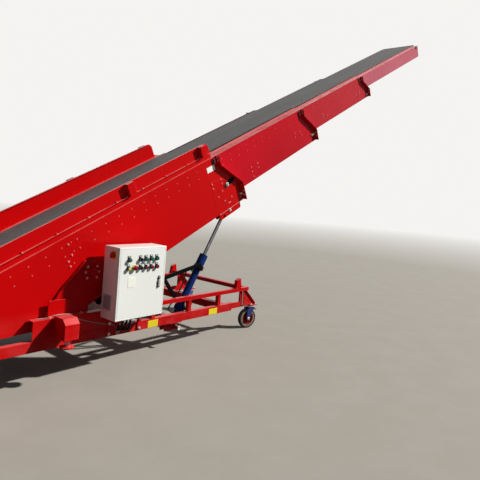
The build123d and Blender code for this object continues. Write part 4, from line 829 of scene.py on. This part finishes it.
# The tip drum's bearing units, with shaft caps and two bolts each.
tip = {"place": np.array([7.985, -0.35, 0.3037]), "boltStep": (0.036, 0, 0)}
flangeUnit = mm((0, 0), (30, 0), (32, 2), (32, 8), (25, 10), (20, 15), (15, 16.5), (0, 16.5))
shaftCap = mm((0, 15), (9.5, 15), (9.5, 20), (8.5, 21), (0, 21))
tipUnit, tipCap = (turned(profile, tip["place"], outward, steps) for profile, steps in
                   ((flangeUnit, 24), (shaftCap, 16)))
tipBolts = bolts(0.013, [tip["place"] - tip["boltStep"], tip["place"] + tip["boltStep"]])
putIn("tipBearings", [tipUnit], "blackPlastic", "boom_stage_4", pair=True)
putIn("tipBolts", [tipCap, tipBolts], "zinc", "boom_stage_4", pair=True)

# The tail drum's bearing on the right, and the gearmotor on the left: cover rings and bolts on the gearbox,
# cooling fins round the motor, a fan cowl and a box.
tailUnit = mm((0, 0), (43, 0), (45, 2), (45, 9), (34, 12), (28, 19), (23, 21), (0, 21))
tail = {"along": -1.15, "up": 0.3127, "bearingFace": -0.47, "gearFace": 0.56, "motorY": 0.515,
        "motorStart": -1.085, "motorEnd": -0.825, "finRadius": 0.041, "bearingBolts": 0.04,
        "gearBolts": 0.054}
corners = np.array([(x, 0, z) for x in (-1, 1) for z in (-1, 1)])
bearingPlace = np.array([tail["along"], tail["bearingFace"], tail["up"]])
bearing = turned(tailUnit, bearingPlace - [0, 0.004, 0], outward)
bearingPlate = laid(cushion(0.11, 0.11, 0.006, 0.014, 0.0015), bearingPlace)
bearingBolts = bolts(0.016, bearingPlace - [0, 0.006, 0] + tail["bearingBolts"] * corners)
putIn("tailBearingCover", [bearing, bearingPlate], "driveGrey", "boom_stage_1")
putIn("tailBearingBolts", [bearingBolts], "zinc", "boom_stage_1")
gearPlace = np.array([tail["along"], tail["gearFace"], tail["up"]])
motorPlace = np.array([tail["motorStart"], tail["motorY"], tail["up"]])
gearCover = mm((0, 0), (50, 0), (50, 3), (47, 5), (30, 5.5), (26, 8.5), (15, 9), (0, 9))
cowl = mm((0, 0), (40.5, 0), (44.5, 6), (45.5, 20), (45.5, 58), (43, 60), (0, 60))
motorRing = mm((0, 0), (50, 0), (50, 10), (48, 12), (0, 12))
motorBox = block(motorPlace + [0.075, -0.028, 0.04], motorPlace + [0.15, 0.028, 0.072], 0.004)
motorFin = cushion(0.15, 0.0022, 0.0065, 0.0009, 0.0005, 2)
cowlPlace = motorPlace + [tail["motorEnd"] - tail["motorStart"] + 0.002, 0, 0]
gearBolts = bolts(0.012, gearPlace + tail["gearBolts"] * corners, (0, 1, 0))
putIn("gearmotorShape", [turned(gearCover, gearPlace, (0, 1, 0), 36), turned(cowl, cowlPlace, (-1, 0, 0), 32),
                         motorBox, turned(motorRing, motorPlace, lengthwise, 32),
                         fins(motorFin, motorPlace + [0.105, 0, 0], tail["finRadius"], 16)],
      "driveGrey", "boom_stage_1")
putIn("gearmotorBolts", [gearBolts], "zinc", "boom_stage_1")
print("drives dressed")

# The base frame: bolts round the pivot's hubs, pin ends, blank yellow plates and bolts at pillars and legs.
hubPlaces = [(-0.059, 0.84), (0.03, 0.839), (0.049, 0.794), (0.03, 0.748), (-0.06, 0.748), (-0.076, 0.795)]
pivotCap = mm((0, 0), (30, 0), (30, 0.8), (28.5, 2.2), (12, 2.4), (10.5, 1), (0, 1))
footCap = mm((0, 0), (20.5, 0), (20.5, 4), (19, 5.2), (9.5, 5.4), (8, 4), (0, 4))
putIn("hubBolts", [bolts(0.013, np.insert(hubPlaces, 1, -0.508, axis=1))], "boltPale", pair=True)
putIn("pivotPinEnds", [turned(pivotCap, (0, -0.526, boom["pivotHeight"]), outward)], "frameRed", pair=True)
putIn("footPinEnds", [turned(footCap, (0.978, -0.55, 0.172), outward, 24)], "zinc", pair=True)
pillarFeet = [(x, -0.518, 0.47) for x in (-0.37, -0.28, -0.19, -0.1)]
legPlaces = [(x, -0.562, z) for x in (0.152, 0.472) for z in (0.262, 0.352)]
yellowPlates = {(0.64, -0.55, 0.2715): (0.118, 0.066), (1.457, -0.55, 0.27): (0.126, 0.062)}
plates = [laid(cushion(*size, 0.001, 0.003, 0.0003), place) for place, size in yellowPlates.items()]
putIn("pillarFootBolts", [bolts(0.018, pillarFeet, upward)], "boltWornAndHighlit", pair=True)
putIn("cabinetLegBolts", [bolts(0.015, legPlaces)], "zinc")
putIn("yellowPlates", plates, "plateYellow", pair=True)

# The upright plate behind the jack: its free top corner is a quarter circle.
screen = {"rear": -0.385, "front": -0.195, "low": 0.468, "high": 0.6, "y": -0.5065, "corner": 0.032,
          "thickness": 0.005}
arc = np.linspace(0.0, math.pi / 2, 7)
screenOutline = np.concatenate([[(screen["front"], screen["low"])],
                                np.stack([screen["front"] - screen["corner"] * (1 - np.cos(arc)),
                                          screen["high"] - screen["corner"] * (1 - np.sin(arc))], axis=-1),
                                [(screen["rear"], screen["high"]), (screen["rear"], screen["low"])]])
screenMiddle = screenOutline.mean(0)
putIn("cornerScreen", [laid(slab(screenOutline - screenMiddle, screen["thickness"], 0.0008),
                            np.insert(screenMiddle, 1, screen["y"]))], "frameRed", pair=True)

# The cable that hangs across the side plate, and the grommet where it goes in.
cable = {"radius": 0.003, "samples": 120}
cablePath = [(-0.48, -0.515, 0.475), (-0.43, -0.53, 0.476), (-0.385, -0.548, 0.485), (-0.35, -0.558, 0.496),
             (-0.29, -0.56, 0.496), (-0.232, -0.559, 0.488), (-0.2, -0.556, 0.465), (-0.15, -0.555, 0.44),
             (-0.087, -0.555, 0.415), (0.031, -0.555, 0.376), (0.12, -0.555, 0.352), (0.193, -0.555, 0.335),
             (0.232, -0.556, 0.3), (0.248, -0.556, 0.26)]
grommet = mm((9.5, 0), (18.5, 0), (18.5, 3), (16.5, 4.5), (12, 4.5), (9.5, 3))
putIn("deckCable", [pipe(curve(cablePath, cable["samples"]), cable["radius"])], "cableGrey")
putIn("railGrommet", [closedRing(grommet, (0.249, -0.55, 0.257), outward)], "boltPale")

beads = {"radius": 0.0035, "ripple": 0.0008, "pitch": 0.006, "posts": (0.64, 1.108, 1.547), "half": 0.02}


def bead(start, end):
    # A rippled round weld bead along a seam, thinner at its ends.
    start, end = np.asarray(start, float), np.asarray(end, float)
    length = float(np.linalg.norm(end - start))
    count = max(int(length / beads["pitch"] * 2), 8)
    run = np.linspace(0.0, 1.0, count)
    radius = beads["radius"] + beads["ripple"] * np.cos(np.arange(count) * math.pi)
    radius = radius * np.minimum(1.0, np.minimum(run, 1 - run) * length / beads["pitch"] + 0.3)
    return pipe(start + run[:, None] * (end - start), radius, 6, (0.3, 0.7, 0.64))


seams = [((-0.52, -0.55, 0.317), (0.262, -0.55, 0.317)), ((-0.4, -0.496, 0.47), (-0.025, -0.496, 0.47)),
         ((1.812, -0.55, 0.47), (1.908, -0.55, 0.47)), ((-0.352, -0.552, 0.335), (-0.352, -0.552, 0.485)),
         ((-0.232, -0.552, 0.335), (-0.232, -0.552, 0.485))]
for post, z in ((post, z) for post in beads["posts"] for z in (0.43, 0.317)):
    rear, front = post - beads["half"], post + beads["half"]
    seams += [((x, -0.5495, z), (x, -0.5105, z)) for x in (rear, front)]
    seams.append(((rear, -0.55, z), (front, -0.55, z)))
putIn("weldBeads", [bead(*seam) for seam in seams], "frameRed", pair=True)
putIn("railPlugs", [laid(cushion(0.039, 0.039, 0.004, 0.004, 0.0014), (2.04, -0.53, 0.45), (0, 1, 0))],
      "blackPlastic", pair=True)

# Jacks: a threaded screw, a nut on the sleeve's flange and a ring on the foot.
jack = {"place": (-0.292, -0.652, 0), "low": 0.27, "high": 0.33, "radius": 0.0172, "depth": 0.0014,
        "pitch": 0.006}
steps = np.arange(int((jack["high"] - jack["low"]) / jack["pitch"]) * 2 + 1)
ridges = zip(jack["radius"] + jack["depth"] * (steps % 2), jack["low"] + steps * jack["pitch"] / 2)
thread = [(0, jack["low"]), *ridges, (0, jack["high"])]
jackNut = mm((0, 318), (30, 318), (30, 328.5), (28, 330.5), (0, 330.5))
footRing = mm((0, 269), (30, 269), (30, 273), (24, 281), (19.5, 283), (0, 283))
putIn("jackScrews", [turned(thread, jack["place"], steps=24)], "zinc", pair=True)
putIn("jackNuts", [turned(jackNut, jack["place"], steps=6), turned(footRing, jack["place"])], "frameRed",
      pair=True)
print("base frame dressed")

# The right cylinder in the working place: x and z of its foot pin, along and up on the boom of its rod's pin.
cylinder = {"foot": np.array([0.978, 0.172]), "rodPin": (1.685, -0.291), "y": -0.43}


def onCylinder(patch):
    # A patch made (along the barrel from its foot pin, across, off it), put at the right cylinder.
    points, faces = patch
    u, v = cylinder["rodPin"]
    high = np.array([u * boomCos - v * boomSin, boom["pivotHeight"] + u * boomSin + v * boomCos])
    along = unit(high - cylinder["foot"])
    place = cylinder["foot"] + points[:, :1] * along + points[:, 2:] * np.array([-along[1], along[0]])
    return np.stack([place[:, 0], cylinder["y"] + points[:, 1], place[:, 1]], axis=-1), faces


glandRings = mm((18.4, 789), (26.2, 789), (27, 790.5), (27, 796), (22.5, 798.5), (18.4, 800))
barrelBand = mm((35.5, 655), (37.8, 657), (37.8, 665), (35.5, 667))
glandBand = mm((44.5, 700), (45.8, 701.2), (45.8, 706.5), (44.5, 707.7))
port = mm((0, 0), (13.5, 0), (13.5, 12), (12, 14), (8.5, 14), (8.5, 24), (10, 25), (10, 34), (7.5, 36),
          (0, 36))
hosePath = [(0.12, 0.0425, 0.0595), (0.126, 0.05, 0.076), (0.16, 0.054, 0.078), (0.25, 0.048, 0.058),
            (0.355, 0.046, 0.052), (0.46, 0.048, 0.058), (0.556, 0.054, 0.078), (0.584, 0.05, 0.076),
            (0.59, 0.0425, 0.0595)]
wiper = closedRing(glandRings, axis=lengthwise, steps=36)
bands = [closedRing(ring, axis=lengthwise, steps=40) for ring in (barrelBand, glandBand)]
ports = [turned(port, (along, 0.03, 0.026), (0, 0.35, 0.94), 6) for along in (0.12, 0.59)]
hose = pipe(curve(hosePath, 96), 0.0068)
for name, patches, finish, slot in (
        ("rodWiper", [wiper], "blackPlastic", "arm_black"), ("barrelBands", bands, "cylinderBlue", None),
        ("barrelPorts", ports, "zinc", None), ("barrelHose", [hose], "conduitDark", "arm_black")):
    putSides(name, [onCylinder(patch) for patch in patches], finish, "cylinder_barrel_")
print("cylinders dressed")

axleWasher = mm((0, 0), (20, 0), (20, 2), (0, 2))
axleNut = mm((0, 1.8), (15, 1.8), (15, 8.5), (13, 10), (0, 10))
castor = {"turn": math.radians(-15.0), "place": (2.15, -0.505), "trail": -0.038, "rearAxle": (-1.29, -0.5)}


def atCastor(patch):
    # A patch made straight ahead at the right castor's axis, turned with the fork.
    cosine, sine = math.cos(castor["turn"]), math.sin(castor["turn"])
    spun = patch[0][:, :2] @ np.array([[cosine, sine], [-sine, cosine]])
    return np.column_stack([spun + castor["place"], patch[0][:, 2]]), patch[1]


def axleNuts(x, y):
    # A washer and a nut on both ends of a wheel's axle.
    return together([turned(profile, (x, y + out * 0.036, 0.09), (0, out, 0), steps) for out in (-1.0, 1.0)
                     for profile, steps in ((axleWasher, 18), (axleNut, 6))])


race = mm((33.5, 218.2), (39.5, 218.2), (42, 221.5), (42, 233), (39.5, 238.5), (33.5, 240))
brake = [block((0.041, -0.018, 0.184), (0.083, 0.018, 0.192)),
         block((0.041, -0.012, 0.184), (0.049, 0.012, 0.214))]
castorX, castorY = castor["place"]
plateNuts = bolts(0.013, [(castorX + x, castorY + y, 0.255) for x in (-0.04, 0.04) for y in (-0.04, 0.04)],
                  upward)
putSides("castorAxleNuts", [atCastor(axleNuts(castor["trail"], 0.0))], "zinc", "castor_fork_")
putSides("castorRace", [atCastor(closedRing(race, steps=36))], "zinc", "castor_fork_")
putSides("castorBrake", [atCastor(together(brake))], "blackPlastic", "castor_fork_")
putSides("castorPlateNuts", [plateNuts], "zinc", "chassis")
putSides("rearAxleNuts", [axleNuts(*castor["rearAxle"])], "zinc", "chassis")
print("castors dressed")

# The power unit: tank lid with filler, manifold with valves, and its motor with fins, cowl and bell housing.
filler = mm((0, 0), (34, 0), (34, 6), (28, 8), (28, 26), (32, 28), (32, 44), (28, 48), (0, 48))
valve = mm((0, 0), (16, 0), (16, 34), (14, 36), (9, 36), (9, 46), (0, 46))
pumpCowl = mm((0, 0), (80, 0), (85, 8), (86, 20), (86, 56), (82, 60), (0, 60))
pumpBell = mm((0, 0), (86, 0), (86, 12), (62, 18), (60, 40), (0, 40))
hoseEnd = mm((0, 0), (14.5, 0), (14.5, 10), (11.5, 12), (11.5, 20), (0, 20))
unitHose = np.array([(0.565, 0.06, 0.58), (0.565, 0.01, 0.585), (0.6, -0.17, 0.545), (0.69, -0.3, 0.43),
                     (0.79, -0.345, 0.37), (0.813, -0.35, 0.336), (0.813, -0.35, 0.318)])
pumpPlace = np.array([0.52, -0.07, 0.467])
putIn("powerUnitLid", [block((0.304, 0.004, 0.547), (0.736, 0.336, 0.553), 0.0015),
                       block((0.52, 0.06, 0.553), (0.64, 0.14, 0.605), 0.003)], "driveGrey")
pumpFin = cushion(0.19, 0.003, 0.009, 0.0012, 0.0007, 2)
putIn("powerUnitMotor", [fins(pumpFin, pumpPlace - [0.01, 0, 0], 0.079, 20, 0.88),
                         turned(pumpCowl, pumpPlace + [0.153, 0, 0], (-1, 0, 0), 40),
                         turned(pumpBell, pumpPlace - [0.15, 0, 0], lengthwise, 36)], "driveGrey")
putIn("powerUnitFittings", [turned(filler, (0.38, 0.27, 0.553))] +
      [turned(valve, (x, 0.1, 0.605), steps=20) for x in (0.545, 0.58, 0.615)], "blackPlastic")
unitHoses = [pipe(curve(unitHose + [step, 0, 0], 60), 0.008) for step in (0.0, 0.034)]
endPlaces = [(x, -0.35, 0.317) for x in (0.813, 0.847)]
lidPlaces = [(x, y, 0.553) for x in (0.325, 0.52, 0.715) for y in (0.022, 0.318)]
putIn("powerUnitHoses", unitHoses, "conduitDark")
putIn("powerUnitHoseEnds", [repeated(turned(hoseEnd, steps=6), endPlaces, upward)], "zinc")
putIn("powerUnitBolts", [bolts(0.012, lidPlaces, upward)], "zinc")
print("power unit dressed")

# Inside the cabinet: rows of blocks on a mounting plate. Each row has the blocks' middles along x, half their
# width, from and to in height, how far their front and back stand off the plate, and their edge.
plateFace = cabinet["back"] - 0.009


def rowOf(middles, half, low, high, front, back=0.008, edge=0.003):
    return [block((x - half, plateFace - front, low), (x + half, plateFace - back, high), edge, 1)
            for x in middles]


contactors, breakers = np.arange(0.15, 0.33, 0.047), np.arange(0.385, 0.48, 0.0365)
relays, terminals = np.arange(0.16, 0.48, 0.054), np.arange(0.14, 0.48, 0.0062)
mountPlate = block((0.087, plateFace, 0.45), (0.537, plateFace + 0.003, 0.99), 0.001, 1)
dinRails = [rowOf([0.3125], 0.1875, z - 0.0175, z + 0.0175, 0.008, 0.0, 0.001) for z in (0.88, 0.713, 0.553)]
ducts = [rowOf([0.312], 0.212, z - 0.018, z + 0.018, 0.05, 0.0, 0.0015) for z in (0.96, 0.795, 0.63, 0.475)]
putIn("mountingPlate", [mountPlate] + sum(dinRails, []), "zinc")
uprights = rowOf((0.104, 0.52), 0.014, 0.495, 0.94, 0.05, 0.0, 0.0015)
putIn("cableDucts", sum(ducts, []) + uprights, "greyPlastic")
putIn("switchgear", rowOf(contactors, 0.0215, 0.84, 0.92, 0.085) +
      rowOf(breakers, 0.0172, 0.838, 0.922, 0.07) + rowOf(relays, 0.0225, 0.668, 0.756, 0.082),
      "blackPlastic")
putIn("switchgearFronts", rowOf(contactors, 0.019, 0.866, 0.894, 0.09, 0.085, 0.002) +
      rowOf(relays, 0.02, 0.698, 0.726, 0.088, 0.082, 0.002) +
      rowOf(terminals, 0.0026, 0.53, 0.576, 0.048, 0.008, 0.0006), "legendWhite")
putIn("breakerLevers", rowOf(breakers, 0.006, 0.872, 0.886, 0.078, 0.069, 0.0015), "buttonBlack")
putIn("doorWires", [pipe(curve([(0.1, -0.61, 0.8), (0.085, -0.64, 0.83), (0.074, -0.69, 0.845),
                                (0.072, -0.715, 0.85)], 40), 0.007, 10)], "conduitDark")
print("cabinet inside dressed")

# The camera stands where the photo's vanishing points put it.
view = {"place": (-2.338, -3.94, 1.535), "right": (0.63590996, -0.76809566, 0.07515036),
        "up": (-0.03338527, 0.06990599, 0.99699477), "ahead": (0.77104082, 0.63650782, -0.01881083),
        "lens": 36.375, "shiftUp": -0.0792}
lens = bpy.data.cameras.new("photoCamera")
lens.lens, lens.sensor_width, lens.shift_y = view["lens"], 36.0, view["shiftUp"]
lens.clip_start, lens.clip_end = 0.05, 200.0
camera = bpy.data.objects.new("photoCamera", lens)
facing = Matrix(np.array([view["right"], view["up"], -np.array(view["ahead"])]).T.tolist())
camera.matrix_world = Matrix.Translation(Vector(origin + np.array(view["place"]))) @ facing.to_4x4()
bpy.context.scene.collection.objects.link(camera)
bpy.context.scene.camera = camera

light = {"sunFrom": (0.621, -0.478, 0.621), "sunStrength": 5.5, "sunWidth": 2.0, "sunTone": (1.0, 0.97, 0.93),
         "sky": 0.115, "skyTone": (0.34, 0.8, 1.0, 1.0), "backdrop": tone(244, 243, 241)}
sun = bpy.data.lights.new("softSun", "SUN")
sun.energy, sun.angle, sun.color = light["sunStrength"], math.radians(light["sunWidth"]), light["sunTone"]
sunObject = bpy.data.objects.new("softSun", sun)
sunObject.rotation_euler = Vector(light["sunFrom"]).to_track_quat("Z", "Y").to_euler()
bpy.context.scene.collection.objects.link(sunObject)

# The sky lights the object, and what the camera, glossy and transmission rays see of it is the backdrop.
world = bpy.data.worlds.new("studio")
world.use_nodes = True
bpy.context.scene.world = world
studio = Nodes(world.node_tree)
sky = studio.add("ShaderNodeBackground", {}, {"Color": light["skyTone"], "Strength": light["sky"]})
seen = studio.add("ShaderNodeBackground", {}, {"Color": light["backdrop"], "Strength": 1.0})
rays = [studio.add("ShaderNodeLightPath", output=f"Is {kind} Ray")
        for kind in ("Camera", "Glossy", "Transmission")]
studio.show(studio.add("ShaderNodeMixShader", {}, {0: rays[0].most(rays[1]).most(rays[2]), 1: sky, 2: seen}),
            "World Output")

# The floor is a disc that fades into the backdrop. The camera sees the pale floor, and the light that
# bounces off it is kept low so that shade stays dark.
ground = {"reach": 60.0, "rings": 12, "steps": 48, "middle": 1.5, "fadeFrom": 9.0, "fadeTo": 26.0,
          "colour": (152, 146, 137), "grit": (190, 186, 180), "bounce": (74, 70, 66)}
radii = np.concatenate([[0.0], np.geomspace(1.0, ground["reach"], ground["rings"])])
floorProfile = [(radius, 0.0) for radius in radii]
floorPoints, floorFaces = turned(floorProfile, origin * [1, 1, 0], steps=ground["steps"])
floorMesh = bpy.data.meshes.new("paleFloor")
floorMesh.from_pydata(floorPoints.tolist(), [], floorFaces.tolist())
floor = bpy.data.objects.new("paleFloor", floorMesh)
bpy.context.scene.collection.objects.link(floor)
floorFinish = Finish("paleFloor", Roughness=0.85)
along, across, up = floorFinish.axes()
away = ((along - float(origin[0]) - ground["middle"]) ** 2.0 + (across - float(origin[1])) ** 2.0) ** 0.5
grit = (floorFinish.noise(3.0, 5.0, 0.6) - 0.4).ramp(0.0, 0.4) * 0.12
seenByCamera = floorFinish.add("ShaderNodeLightPath", output="Is Camera Ray")
paleFloor = floorFinish.blend(grit, ground["colour"], ground["grit"])
floorFinish.feed("Base Color", floorFinish.blend(seenByCamera, ground["bounce"], paleFloor))
fade = floorFinish.add("ShaderNodeEmission", {}, {"Color": light["backdrop"], "Strength": 1.0})
floorFinish.show(floorFinish.add("ShaderNodeMixShader", {}, {
    0: away.ramp(ground["fadeFrom"], ground["fadeTo"]), 1: Wire(floorFinish, floorFinish.shader.outputs[0]),
    2: fade}), "Material Output")
floorMesh.materials.append(floorFinish.material)
bpy.context.scene.view_settings.view_transform = "Standard"
print("camera, light and floor set")
